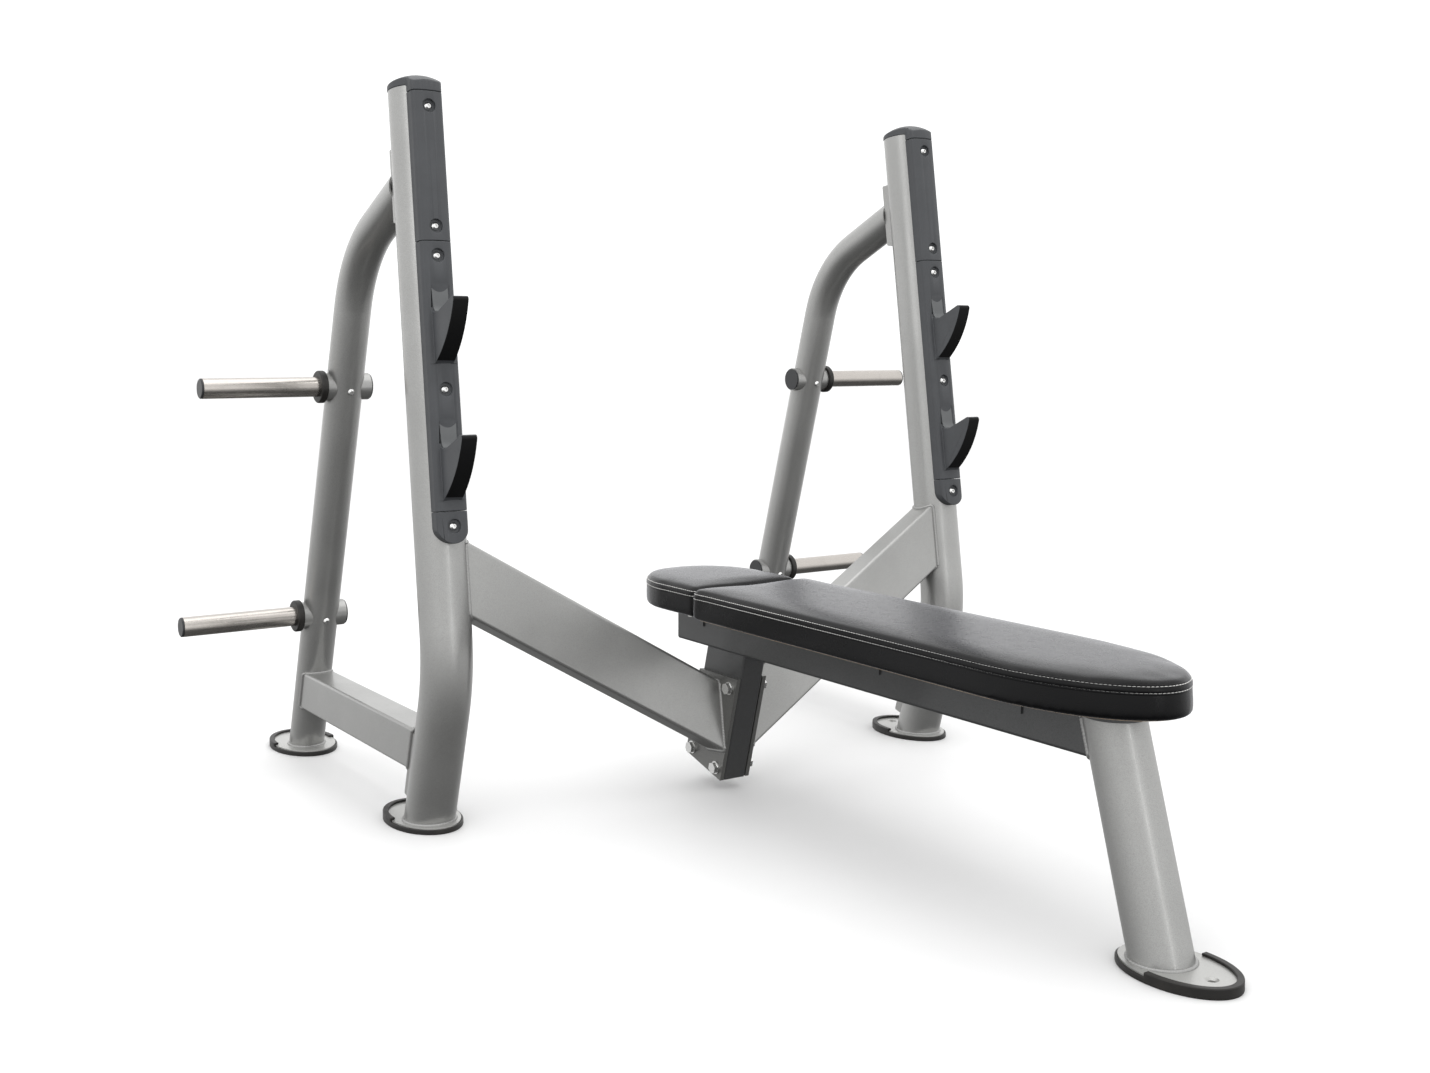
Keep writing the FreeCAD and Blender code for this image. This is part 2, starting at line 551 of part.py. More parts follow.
# ---------------------------------------------------------------- rear tubes, side braces and storage horns
HORNS = (("upper", S["horn_high_z"]), ("lower", S["horn_low_z"]))


def horn_y(z):
    return S["rear_foot_y"] - z * math.tan(math.radians(S["rear_tilt_deg"]))


end_caps = []
plugs = []
set_screws = []
for side, sign in SIDES:
    x0 = sign * S["rack_half_span"]
    frame = chained(rear_frame(x0), moved(0, 0, START))
    tube = tube_body("rear_tube_" + side, frame, "rear_tube_od", "rear_tube_wall", REAR_RUN - START,
                     -S["rear_bend_turn_deg"], S["rear_bend_radius"], joint_run + 60.0)
    tools = [box("rear_foot_trim_" + side, (200, 300, 100), (x0 - 100, 750, PLATE_TOP - 100)),
             box("rear_joint_trim_" + side, (200, 300, 500), (-100, FACE_N - 300, joint_v - 250),
                 lean_frame(x0))]
    sleeves = []
    rings = []
    for level, z in HORNS:
        y = horn_y(z)
        tag = "%s_%s" % (side, level)
        xs = sign * SLEEVE_IN
        length = SLEEVE_OUT - SLEEVE_IN
        sleeve_rule = "sizes.horn_od / 2 - sizes.horn_shoulder + sizes.sleeve_wall"
        tail_rule = "sizes.horn_od / 2 - sizes.horn_shoulder"
        tools.append(cylinder("sleeve_hole_" + tag, SLEEVE_R, length, (xs, y, z), (sign, 0, 0), FLAT,
                              {"Radius": sleeve_rule}))
        screw_way = chained(turned(x0, y, z, S["rear_tilt_deg"]))
        tools.append(cylinder("set_hole_tube_" + tag, 4.0, 60, (0, -60, 0), (0, 1, 0), screw_way))
        outer = cylinder("sleeve_outer_" + tag, SLEEVE_R, length, (xs, y, z), (sign, 0, 0), FLAT,
                         {"Radius": sleeve_rule, "Height": "sizes.sleeve_inward + sizes.sleeve_outward"})
        bore = cylinder("sleeve_bore_" + tag, TAIL_R, length + 20, (xs - sign * 10, y, z), (sign, 0, 0),
                        FLAT, {"Radius": tail_rule})
        hole = cylinder("set_hole_sleeve_" + tag, 4.0, 60, (0, -60, 0), (0, 1, 0), screw_way)
        sleeves.append(cut("sleeve_" + tag, outer, [bore, hole]))
        horn = fuse("horn_" + tag, [
            cylinder("horn_rod_" + tag, S["horn_od"] / 2, S["horn_length"], (sign * SHOULDER, y, z), (sign, 0, 0), FLAT,
                     {"Radius": "sizes.horn_od / 2", "Height": "sizes.horn_length"}),
            cylinder("horn_tail_" + tag, TAIL_R, S["horn_tail"], (sign * (SHOULDER - S["horn_tail"]), y, z),
                     (sign, 0, 0), FLAT, {"Radius": tail_rule, "Height": "sizes.horn_tail"})])
        node("storage_horn_" + tag, horn)
        ring_body = new_body("stop_ring_body_" + tag, FreeCAD.Placement(
            V(sign * SLEEVE_OUT, y, z), FreeCAD.Rotation(V(0, 0, 1), V(sign, 0, 0))))
        sketch = on_plane(ring_body, "stop_ring_section_" + tag, "XY_Plane")
        draw(sketch, [("circle", (0, 0), RING_R), ("circle", (0, 0), TAIL_R + 0.05)])
        big = sketch.addConstraint(Sketcher.Constraint("Radius", 0, RING_R))
        sketch.setExpression("Constraints[%d]" % big, tail_rule + " + sizes.ring_height")
        pad = ring_body.newObject("PartDesign::Pad", "stop_ring_pad_" + tag)
        pad.Profile = sketch
        pad.Length = S["ring_t"]
        pad.setExpression("Length", "sizes.ring_t")
        ring_body.Tip = pad
        doc.recompute()
        edges = ["Edge%d" % (i + 1) for i, e in enumerate(pad.Shape.Edges)
                 if hasattr(e.Curve, "Radius") and abs(e.Curve.Radius - RING_R) < 0.01 and len(e.Vertexes) == 1]
        soft = ring_body.newObject("PartDesign::Fillet", "stop_ring_soft_" + tag)
        soft.Base = (pad, edges)
        soft.Radius = 3.0
        ring_body.Tip = soft
        rings.append(ring_body)
        end_caps.append(fuse("horn_cap_" + tag, [
            cylinder("horn_cap_rim_" + tag, S["horn_od"] / 2 - 0.3, 2.5, (sign * HORN_END, y, z),
                     (sign, 0, 0), FLAT, {"Radius": "sizes.horn_od / 2 - 0.3"}),
            cone("horn_cap_bevel_" + tag, S["horn_od"] / 2 - 0.3, S["horn_od"] / 2 - 2.0, 1.5,
                 (sign * (HORN_END + 2.5), y, z), (sign, 0, 0))]))
        plugs.append(fuse("sleeve_plug_" + tag, [
            cylinder("plug_face_" + tag, SLEEVE_R - 2.0, 3.0, (xs, y, z), (-sign, 0, 0)),
            cylinder("plug_stem_" + tag, TAIL_R, 10.0, (xs, y, z), (sign, 0, 0), FLAT, {"Radius": tail_rule})]))
        shank = cylinder("set_shank_" + tag, 4.0, R_REAR + 1.0 - TAIL_R, (0, -R_REAR - 1.0, 0), (0, 1, 0),
                         screw_way)
        knob = cone("set_head_" + tag, 6.5, 4.0, 4.4, (0, -R_REAR - 1.0, 0), (0, -1, 0), screw_way)
        set_screws.append(fuse("set_screw_" + tag, [shank, knob]))
    node("rear_tube_%s" % side, cut("rear_tube_cut_" + side, tube, tools))
    node("horn_sleeves_" + side, group("horn_sleeve_set_" + side, sleeves))
    node("stop_rings_" + side, group("stop_ring_set_" + side, rings))
    # side brace between the upright's joint block and the rear tube
    brace = prism("brace_box_" + side, "XZ_Plane", hollow(
        x0 - S["brace_width"] / 2, S["brace_low_z"], x0 + S["brace_width"] / 2, S["brace_high_z"], S["brace_wall"], 5.0),
        -S["rear_foot_y"] - 100.0, S["rear_foot_y"] - S["lower_foot_y"] + 300.0)
    ends = [box("brace_front_trim_" + side, (200, 400, 600), (-100, FACE_N - 400, -100), lower_frame(x0)),
            cylinder("brace_rear_trim_" + side, R_REAR, 500, (0, 0, -100), (0, 0, 1), rear_frame(x0),
                     {"Radius": "sizes.rear_tube_od / 2"}),
            box("brace_rear_waste_" + side, (200, 400, 600), (-100, 0, -100), rear_frame(x0))]
    node("side_brace_" + side, cut("side_brace_cut_" + side, brace, ends))
node("horn_end_caps", group("horn_end_cap_set", end_caps))
node("sleeve_plugs", group("sleeve_plug_set", plugs))
node("horn_set_screws", group("horn_set_screw_set", set_screws))

# ---------------------------------------------------------------- cross beams, centre post and bolting plates
PW = S["post_width"] / 2
FLANGE_X = PW + S["flange_t"]
for side, sign in SIDES:
    x0 = sign * S["rack_half_span"]
    slope = math.radians(S["cross_slope_deg"])
    tilt = FreeCAD.Rotation(V(0, 1, 0), -sign * S["cross_slope_deg"])
    along = chained(lean_frame(0.0), FreeCAD.Placement(V(sign * S["cross_ref_x"], 0, S["cross_ref_v"]), tilt))
    start = -200.0 if sign > 0 else -800.0
    beam = prism("cross_box_" + side, "YZ_Plane", hollow(-S["cross_depth"] / 2, -S["cross_height"] / 2,
                                                         S["cross_depth"] / 2, S["cross_height"] / 2,
                                                         S["cross_wall"], 6.0), start, 1000.0, along)
    waste = box("cross_mid_trim_" + side, (1000, 1200, 1200), (-1000 if sign > 0 else 0, -500, -400),
                moved(sign * FLANGE_X, 0, 0))
    tube = cylinder("cross_tube_trim_" + side, R_MAIN, 1600, (0, 0, -800), (0, 0, 1), lean_frame(x0),
                    {"Radius": "sizes.main_tube_od / 2"})
    outside = box("cross_outer_trim_" + side, (600, 1200, 1600), (0 if sign > 0 else -600, -500, -400),
                  moved(x0, 0, 0))
    node("cross_beam_" + side, cut("cross_beam_cut_" + side, beam, [waste, tube, outside]))

pt = math.radians(S["post_tilt_deg"])
EDGE = S["flange_bolt_edge"]
BOLTS = ((EDGE, S["flange_bolt_low"]), (S["post_depth"] - EDGE, S["flange_bolt_low"]),
         (EDGE, S["flange_bolt_high"]), (S["post_depth"] - EDGE, S["flange_bolt_mid"]))
holes = [cylinder("post_bolt_hole_%d" % i, S["flange_bolt_hole"] / 2, 120, (-60, w, u), (1, 0, 0), post_frame(),
                  {"Radius": "sizes.flange_bolt_hole / 2"}) for i, (w, u) in enumerate(BOLTS)]
post_run = (S["bench_beam_z"] - S["post_ref_z"]) / math.cos(pt) + 60.0
post_box = prism("post_box", "XY_Plane", hollow(-PW, 0, PW, S["post_depth"], S["post_wall"], 5.0), 0.0, post_run,
                 post_frame())
post_top = box("post_top_trim", (200, 500, 300), (-100, -50, S["bench_beam_z"]))
node("centre_post", cut("centre_post_cut", post_box, [post_top] + holes))
plug_in = S["post_wall"] + 0.3
post_plug = prism("post_plug", "XY_Plane", rounded(-PW + plug_in, plug_in, PW - plug_in, S["post_depth"] - plug_in, 2.0),
                  1.0, 5.0, post_frame())
node("post_end_plug", post_plug)
flange_rise = S["bench_beam_z"] - S["flange_top_drop"] - S["post_ref_z"]
front_u = flange_rise / math.cos(pt)
rear_u = (flange_rise - S["post_depth"] * math.sin(pt)) / math.cos(pt)
for side, sign in SIDES:
    plate = prism("flange_blank_" + side, "YZ_Plane", closed([
        (0, 0), (S["post_depth"], 0), (S["post_depth"], rear_u), (0, front_u)]), PW if sign > 0 else -FLANGE_X,
        S["flange_t"], post_frame(), "sizes.flange_t")
    bores = [cylinder("flange_hole_%s_%d" % (side, i), S["flange_bolt_hole"] / 2, 120, (-60, w, u), (1, 0, 0),
                      post_frame(), {"Radius": "sizes.flange_bolt_hole / 2"}) for i, (w, u) in enumerate(BOLTS)]
    node("flange_plate_" + side, cut("flange_cut_" + side, plate, bores))

WASHER_T = 2.5
bolts = []
nuts = []
washers = []
turn_x = FreeCAD.Rotation(V(0, 0, 1), V(1, 0, 0))
for i, (w, u) in enumerate(BOLTS):
    P = post_frame()
    out = FLANGE_X + WASHER_T
    head = prism("bolt_head_%d" % i, "XY_Plane", hexagon(19.0), 0.0, 7.5,
                 chained(P, FreeCAD.Placement(V(-out - 7.5, w, u), turn_x)))
    shank = cylinder("bolt_shank_%d" % i, S["flange_bolt"] / 2, 2 * out + 13.0, (-out - 1.0, w, u), (1, 0, 0), P,
                     {"Radius": "sizes.flange_bolt / 2"})
    bolts.append(fuse("flange_bolt_%d" % i, [head, shank]))
    nut = prism("nut_hex_%d" % i, "XY_Plane", hexagon(19.0), 0.0, 10.0,
                chained(P, FreeCAD.Placement(V(out, w, u), turn_x)))
    nuts.append(cut("flange_nut_%d" % i, nut, [cylinder("nut_bore_%d" % i, S["flange_bolt"] / 2, 60, (0, w, u),
                                                        (1, 0, 0), P, {"Radius": "sizes.flange_bolt / 2"})]))
    for k, x in enumerate((-out, FLANGE_X)):
        disc = cylinder("washer_disc_%d_%d" % (i, k), 12.0, WASHER_T, (x, w, u), (1, 0, 0), P)
        eye = cylinder("washer_eye_%d_%d" % (i, k), 6.5, 20, (x - 5, w, u), (1, 0, 0), P)
        washers.append(cut("washer_%d_%d" % (i, k), disc, [eye]))
node("flange_bolts", group("flange_bolt_set", bolts))
node("flange_nuts", group("flange_nut_set", nuts))
node("flange_washers", group("flange_washer_set", washers))

# ---------------------------------------------------------------- bench beam and front leg
BW = S["bench_beam_w"] / 2
leg_trim = cylinder("beam_leg_trim", R_MAIN, 700, (0, 0, -100), (0, 0, 1), leg_frame(),
                    {"Radius": "sizes.main_tube_od / 2"})
leg_waste = box("beam_leg_waste", (200, 400, 700), (-100, -400, -100), leg_frame())
beam_box = prism("bench_beam_box", "XZ_Plane", hollow(-BW, S["bench_beam_z"], BW, BEAM_TOP, S["bench_beam_wall"], 6.0),
                 -S["bench_beam_rear_y"], 1200.0)
node("bench_beam", cut("bench_beam_cut", beam_box, [leg_trim, leg_waste]))
tuck = S["bench_beam_wall"] + 0.3
plug = fuse("beam_plug_parts", [
    prism("beam_plug_face", "XZ_Plane", rounded(-BW, S["bench_beam_z"], BW, BEAM_TOP, 6.0),
          -S["bench_beam_rear_y"] - 3.0, 3.0),
    prism("beam_plug_stem", "XZ_Plane", rounded(-BW + tuck, S["bench_beam_z"] + tuck, BW - tuck, BEAM_TOP - tuck, 3.0),
          -S["bench_beam_rear_y"], 18.0)])
node("beam_end_plug", plug)
leg_ring = prism("leg_tube", "XY_Plane", [("circle", (0, 0), R_MAIN), ("circle", (0, 0), R_MAIN - S["main_tube_wall"])],
                 -60.0, BEAM_TOP / math.cos(math.radians(S["leg_tilt_deg"])) + 120.0, leg_frame())
node("front_leg", cut("front_leg_cut", leg_ring, [
    box("leg_foot_trim", (300, 300, 100), (-150, S["leg_foot_y"] - 150, PLATE_TOP - 100)),
    box("leg_top_trim", (300, 400, 300), (-150, S["leg_foot_y"] - 150, BEAM_TOP))]))
leg_top_y = S["leg_foot_y"] + BEAM_TOP * math.tan(math.radians(S["leg_tilt_deg"]))
node("leg_top_plate", prism("leg_top_disc", "XY_Plane", [
    ("ellipse", (0, leg_top_y), R_MAIN - 0.5, R_MAIN / math.cos(math.radians(S["leg_tilt_deg"])) - 0.5)],
    BEAM_TOP, 4.0))

# ---------------------------------------------------------------- feet
FEET = (("front", 0.0, S["leg_foot_y"] - S["front_foot_ahead"], -1.0),
        ("upright_left", -S["rack_half_span"], S["lower_foot_y"] + S["upright_foot_ahead"], 1.0),
        ("upright_right", S["rack_half_span"], S["lower_foot_y"] + S["upright_foot_ahead"], 1.0),
        ("rear_left", -S["rack_half_span"], S["rear_foot_y"] + S["rear_foot_ahead"], 1.0),
        ("rear_right", S["rack_half_span"], S["rear_foot_y"] + S["rear_foot_ahead"], 1.0))
FA, FB = S["foot_length"] / 2, S["foot_width"] / 2
for name, fx, fy, way in FEET:
    plate = prism("plate_blank_" + name, "XY_Plane", [("ellipse", (fx, fy), FB, FA)], S["boot_floor"],
                  S["foot_plate_t"], FLAT, "sizes.foot_plate_t")
    ay = fy + way * S["anchor_offset"]
    bore = cylinder("anchor_bore_" + name, S["anchor_bore"] / 2, 40, (fx, ay, -5), (0, 0, 1), FLAT,
                    {"Radius": "sizes.anchor_bore / 2"})
    sink = cone("anchor_sink_" + name, S["anchor_bore"] / 2, S["anchor_bore"] / 2 + 3.5, 3.5,
                (fx, ay, PLATE_TOP - 3.5), (0, 0, 1))
    node("foot_plate_" + name, cut("foot_plate_cut_" + name, plate, [bore, sink]))
    height = PLATE_TOP + S["boot_lip_t"]
    wall = prism("boot_blank_" + name, "XY_Plane", [("ellipse", (fx, fy), FB + S["boot_wall"], FA + S["boot_wall"])],
                 0.0, height)
    pocket = prism("boot_pocket_" + name, "XY_Plane", [("ellipse", (fx, fy), FB, FA)], S["boot_floor"],
                   S["foot_plate_t"])
    mouth = prism("boot_mouth_" + name, "XY_Plane", [
        ("ellipse", (fx, fy), FB - S["boot_lip_w"], FA - S["boot_lip_w"])], PLATE_TOP, 20.0)
    notches = [box("boot_open_%s" % name, (400, 200, 20), (fx - 200, fy - 5.0 - (200 if way > 0 else 0) + (
        10.0 if way < 0 else 0.0), PLATE_TOP - 2.5))]
    hole = cylinder("boot_hole_" + name, S["anchor_bore"] / 2 + 1.0, 40, (fx, ay, -5), (0, 0, 1))
    node("foot_boot_" + name, cut("foot_boot_cut_" + name, wall, [pocket, mouth, hole] + notches))

# ---------------------------------------------------------------- pads, boards and cross plates
BRACKETS = ((221.0, True), (40.0, False), (-293.0, True), (-612.0, True))
HOLE_X = (-45.0, 45.0)
bars = []
pad_screws = []
for i, (y, eared) in enumerate(BRACKETS):
    half = S["bracket_width"] / 2
    bar = prism("bracket_bar_%d" % i, "YZ_Plane", hollow(y - half, BEAM_TOP, y + half, PAD_Z, S["bracket_wall"], 3.0),
                -S["bracket_length"] / 2, S["bracket_length"], FLAT, "sizes.bracket_length")
    whole = [bar]
    if eared:
        for k, x in enumerate((-BW - S["ear_t"], BW)):
            whole.append(box("bracket_ear_%d_%d" % (i, k), (S["ear_t"], 2 * half, S["ear_drop"] + 1.0),
                             (x, y - half, BEAM_TOP - S["ear_drop"]), FLAT, {"Length": "sizes.ear_t"}))
    joined = fuse("bracket_joined_%d" % i, whole) if eared else bar
    eyes = [cylinder("bracket_eye_%d_%d" % (i, k), 4.5, 60, (x, y, BEAM_TOP - 10), (0, 0, 1))
            for k, x in enumerate(HOLE_X)]
    bars.append(cut("bracket_%d" % i, joined, eyes))
    for k, x in enumerate(HOLE_X):
        hexa = prism("pad_screw_head_%d_%d" % (i, k), "XY_Plane", hexagon(13.0), 0.0, 5.3,
                     moved(x, y, BEAM_TOP - 5.3))
        rod = cylinder("pad_screw_rod_%d_%d" % (i, k), 4.0, 5.3 + S["bracket_t"] + 9.0, (x, y, BEAM_TOP - 5.3),
                       (0, 0, 1))
        pad_screws.append(fuse("pad_screw_%d_%d" % (i, k), [hexa, rod]))
node("pad_brackets", group("pad_bracket_set", bars))
node("pad_screws", group("pad_screw_set", pad_screws))


def pad_outline(inset):
    w, y0, y1 = S["pad_half_width"] - inset, S["pad_foot_y"] + S["pad_end_run"], S["pad_seam_y"] - inset
    return [("line", (w, y0), (w, y1 - 18)), ("arc", (w, y1 - 18), (w - 5.3, y1 - 5.3), (w - 18, y1)),
            ("line", (w - 18, y1), (-w + 18, y1)), ("arc", (-w + 18, y1), (-w + 5.3, y1 - 5.3), (-w, y1 - 18)),
            ("line", (-w, y1 - 18), (-w, y0)), ("end", (0, y0), w, -(S["pad_end_run"] - inset))]


def head_outline(inset):
    w = S["head_half_width"] - inset
    y0, y1 = S["pad_seam_y"] + S["head_gap"] + inset, 214.0
    return [("line", (-w, y1), (-w + 2, y0 + 12)), ("arc", (-w + 2, y0 + 12), (-w + 5.5, y0 + 3.5), (-w + 14, y0)),
            ("line", (-w + 14, y0), (w - 14, y0)), ("arc", (w - 14, y0), (w - 5.5, y0 + 3.5), (w - 2, y0 + 12)),
            ("line", (w - 2, y0 + 12), (w, y1)), ("end", (0, y1), w, S["head_tip_y"] - y1 - inset)]


for name, outline, ys in (("main", pad_outline, BRACKETS[1:]), ("head", head_outline, BRACKETS[:1])):
    board = prism(name + "_board_blank", "XY_Plane", outline(S["board_inset"]), PAD_Z, S["board_t"], FLAT,
                  "sizes.board_t")
    pilots = [cylinder("%s_pilot_%d_%d" % (name, i, k), 4.0, 9.0, (x, y, PAD_Z), (0, 0, 1))
              for i, (y, eared) in enumerate(ys) for k, x in enumerate(HOLE_X)]
    node(name + "_board", cut(name + "_board_cut", board, pilots))
    body = prism(name + "_pad_foam", "XY_Plane", outline(0.0), PAD_Z, S["pad_t"], FLAT, "sizes.pad_t")
    doc.recompute()
    base = body.Tip
    rims = ["Edge%d" % (i + 1) for i, e in enumerate(base.Shape.Edges) if e.BoundBox.ZLength < 0.01]
    soft = body.newObject("PartDesign::Fillet", name + "_pad_soft")
    soft.Base = (base, rims)
    soft.Radius = min(8.0, S["pad_t"] / 4)
    seat = on_plane(body, name + "_board_seat", "XY_Plane", PAD_Z)
    draw(seat, outline(S["board_inset"]))
    pocket = body.newObject("PartDesign::Pocket", name + "_board_pocket")
    pocket.Profile = seat
    pocket.Length = S["board_t"]
    pocket.setExpression("Length", "sizes.board_t")
    pocket.Reversed = True
    body.Tip = pocket
    doc.recompute()
    assert pocket.Shape.Volume < soft.Shape.Volume - 1000.0, name
    node(name + "_pad", body)

doc.recompute()

# ---------------------------------------------------------------- checks and export
bad = []
for obj in doc.Objects:
    if "Invalid" in obj.State or "Error" in obj.State:
        bad.append("%s %s" % (obj.Name, obj.State))
for name, obj in NODES.items():
    if obj.Shape.isNull() or not obj.Shape.isValid() or not obj.Shape.Solids:
        bad.append(name)
if bad:
    raise RuntimeError("not built: %s" % bad)
assert len(NODES) <= 60, len(NODES)
for name, obj in NODES.items():
    obj.Shape.exportStep("parts/%s.step" % name)
print("nodes", len(NODES))
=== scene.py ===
"""Looks of an olympic bench press: two leaning racks, a crossed frame and a padded flat bench.

Metres, +Z up, +Y towards the racks and the head of the bench.  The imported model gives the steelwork; this
script gives it finishes, welds, moulded rack covers, upholstered pads with sewn seams, a floor and light.
"""

import logging
import math
from dataclasses import dataclass
from enum import Enum
from typing import Optional, Sequence, Tuple, Union

import bmesh
import bpy
import numpy as np
from mathutils import Matrix, Vector
from mathutils.bvhtree import BVHTree


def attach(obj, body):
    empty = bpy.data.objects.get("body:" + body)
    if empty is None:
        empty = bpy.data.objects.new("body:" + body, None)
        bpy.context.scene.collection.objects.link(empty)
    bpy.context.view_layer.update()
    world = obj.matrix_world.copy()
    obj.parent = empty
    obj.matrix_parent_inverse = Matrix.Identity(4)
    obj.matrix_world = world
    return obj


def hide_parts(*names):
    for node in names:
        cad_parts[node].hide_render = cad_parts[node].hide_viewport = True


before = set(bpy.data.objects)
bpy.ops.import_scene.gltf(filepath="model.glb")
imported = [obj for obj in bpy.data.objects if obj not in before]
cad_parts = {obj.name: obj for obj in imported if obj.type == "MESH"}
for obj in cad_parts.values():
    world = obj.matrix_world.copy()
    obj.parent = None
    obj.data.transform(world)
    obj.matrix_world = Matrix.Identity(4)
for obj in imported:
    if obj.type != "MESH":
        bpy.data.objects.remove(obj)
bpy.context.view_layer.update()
BODY = "root"
MM = 0.001
HALF_SPAN = 0.566
MAIN_RADIUS = 0.0445
REAR_RADIUS = 0.035
FOOT_PLATE_TOP = 0.011

Triple = Tuple[float, float, float]
Array = np.ndarray
Socket = bpy.types.NodeSocket
Material = bpy.types.Material
Piece = bpy.types.Object

logging.basicConfig(level=logging.INFO, format="%(message)s")
LOG = logging.getLogger("bench_press")


class Side(Enum):
    """Which rack a piece belongs to; the value is the sign of its X."""

    LEFT = -1.0
    RIGHT = 1.0

    @property
    def word(self) -> str:
        """The side's name as it stands in piece names."""
        return self.name.lower()


# --------------------------------------------------------------------------- mesh making
def mesh_piece(name: str, points: Array, faces: Sequence[Sequence[int]], finish: Material,
               smooth_deg: float = 40.0) -> Piece:
    """Makes one object from worked-out points and faces, smooth up to an edge angle.

    Args:
        name: the piece's name.
        points: N by 3 array, metres, in the row frame.
        faces: corner numbers of each face.
        finish: the material.
        smooth_deg: edges sharper than this stay crisp.

    Returns:
        The linked object, riding on the frame.
    """
    mesh = bpy.data.meshes.new(name)
    mesh.from_pydata(np.asarray(points, float).tolist(), [], [list(map(int, f)) for f in faces])
    mesh.validate()
    mesh.update()
    return dress_mesh(name, mesh, finish, smooth_deg)


def dress_mesh(name: str, mesh: bpy.types.Mesh, finish: Material, smooth_deg: float = 40.0) -> Piece:
    """Links a finished mesh as a piece with one material.

    Args:
        name: the piece's name.
        mesh: its mesh, in the row frame.
        finish: the material.
        smooth_deg: edges sharper than this stay crisp.

    Returns:
        The linked object, riding on the frame.
    """
    mesh.materials.clear()
    mesh.materials.append(finish)
    mesh.polygons.foreach_set("use_smooth", np.ones(len(mesh.polygons), bool))
    mesh.set_sharp_from_angle(angle=math.radians(smooth_deg))
    piece = bpy.data.objects.new(name, mesh)
    bpy.context.scene.collection.objects.link(piece)
    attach(piece, BODY)
    return piece


def grid_faces(rows: int, cols: int, closed: bool, flip: bool = False) -> Array:
    """Quads of a rows by cols grid of points.

    Args:
        rows: points along the first way.
        cols: points along the second way.
        closed: join the last column to the first.
        flip: turn every face over.

    Returns:
        Quads by 4 corner numbers.
    """
    r = np.arange(rows - 1)[:, None]
    c = np.arange(cols if closed else cols - 1)[None, :]
    a = r * cols + c
    b = r * cols + (c + 1) % cols
    quads = np.stack([a, b, b + cols, a + cols], -1).reshape(-1, 4)
    return quads[:, ::-1] if flip else quads


def turned_outwards(name: str, points: Array, faces: Sequence[Sequence[int]]) -> bpy.types.Mesh:
    """Makes a closed mesh with every face looking out.

    Args:
        name: the mesh's name.
        points: N by 3 array, metres.
        faces: corner numbers of each face.

    Returns:
        The new mesh.
    """
    mesh = bpy.data.meshes.new(name)
    mesh.from_pydata(points.tolist(), [], faces)
    shell = bmesh.new()
    shell.from_mesh(mesh)
    bmesh.ops.recalc_face_normals(shell, faces=shell.faces)
    shell.to_mesh(mesh)
    shell.free()
    return mesh


def lofted(name: str, rings: Array, finish: Material, capped: bool = True, smooth_deg: float = 40.0) -> Piece:
    """Skins a stack of closed rings: a grid of quads, with a flat face over each end when capped.

    Args:
        name: the piece's name.
        rings: rows by points by 3 array.
        finish: the material.
        capped: close both ends.
        smooth_deg: edges sharper than this stay crisp.

    Returns:
        The object, with its faces turned outwards.
    """
    rows, cols = rings.shape[:2]
    faces = [list(f) for f in grid_faces(rows, cols, True)]
    if capped:
        faces += [list(range(cols))[::-1], list(range((rows - 1) * cols, rows * cols))]
    mesh = turned_outwards(name, rings.reshape(-1, 3), faces)
    return dress_mesh(name, mesh, finish, smooth_deg)


def unit(v: Array) -> Array:
    """Vectors along the last axis brought to length one."""
    return v / np.maximum(np.linalg.norm(v, axis=-1, keepdims=True), 1e-12)


def resampled(points: Array, count: int, closed: bool) -> Array:
    """The same line with evenly spaced points: straight interpolation over its running length.

    Args:
        points: N by D array.
        count: points wanted.
        closed: the line runs back to its first point.

    Returns:
        count by D array.
    """
    loop = np.vstack([points, points[:1]]) if closed else points
    run = np.concatenate([[0.0], np.cumsum(np.linalg.norm(np.diff(loop, axis=0), axis=1))])
    at = np.linspace(0.0, run[-1], count, endpoint=not closed)
    return np.stack([np.interp(at, run, loop[:, k]) for k in range(loop.shape[1])], 1)


def swept_bead(path: Array, radius: float, sides: int, ripple: float, pitch: float) -> Array:
    """Rings of a round bead along a closed path.

    Each ring is a circle in the plane across the path; the radius swells by ripple times the absolute sine of
    the running length over the pitch, as a weld's overlapping puddles do.

    Args:
        path: points of the closed centre line.
        radius: metres.
        sides: points round the bead.
        ripple: share of the radius.
        pitch: length of one ripple, metres.

    Returns:
        points by sides by 3 array, the last ring equal to the first.
    """
    ahead = np.roll(path, -1, 0) - np.roll(path, 1, 0)
    t = unit(ahead)
    steep = np.abs(t[:, 2:3]) > 0.9
    up = np.where(steep, np.array([[1.0, 0, 0]]), np.array([[0, 0, 1.0]]))
    a = unit(np.cross(t, up))
    b = np.cross(t, a)
    run = np.concatenate([[0.0], np.cumsum(np.linalg.norm(np.diff(path, axis=0), axis=1))])
    r = radius * (1.0 + ripple * (np.abs(np.sin(math.pi * run / pitch)) - 0.5))
    th = np.linspace(0, 2 * math.pi, sides, endpoint=False)
    cos, sin = np.cos(th)[None, :, None], np.sin(th)[None, :, None]
    rings = path[:, None] + r[:, None, None] * (cos * a[:, None] + sin * b[:, None])
    return np.concatenate([rings, rings[:1]], 0)


# --------------------------------------------------------------------------- finishes
SHADER_SOCKETS = {"colour": "Base Color", "coat": "Coat Weight", "coat_roughness": "Coat Roughness",
                  "specular": "Specular IOR Level", "sheen": "Sheen Weight"}
DUST: Triple = (0.055, 0.047, 0.040)


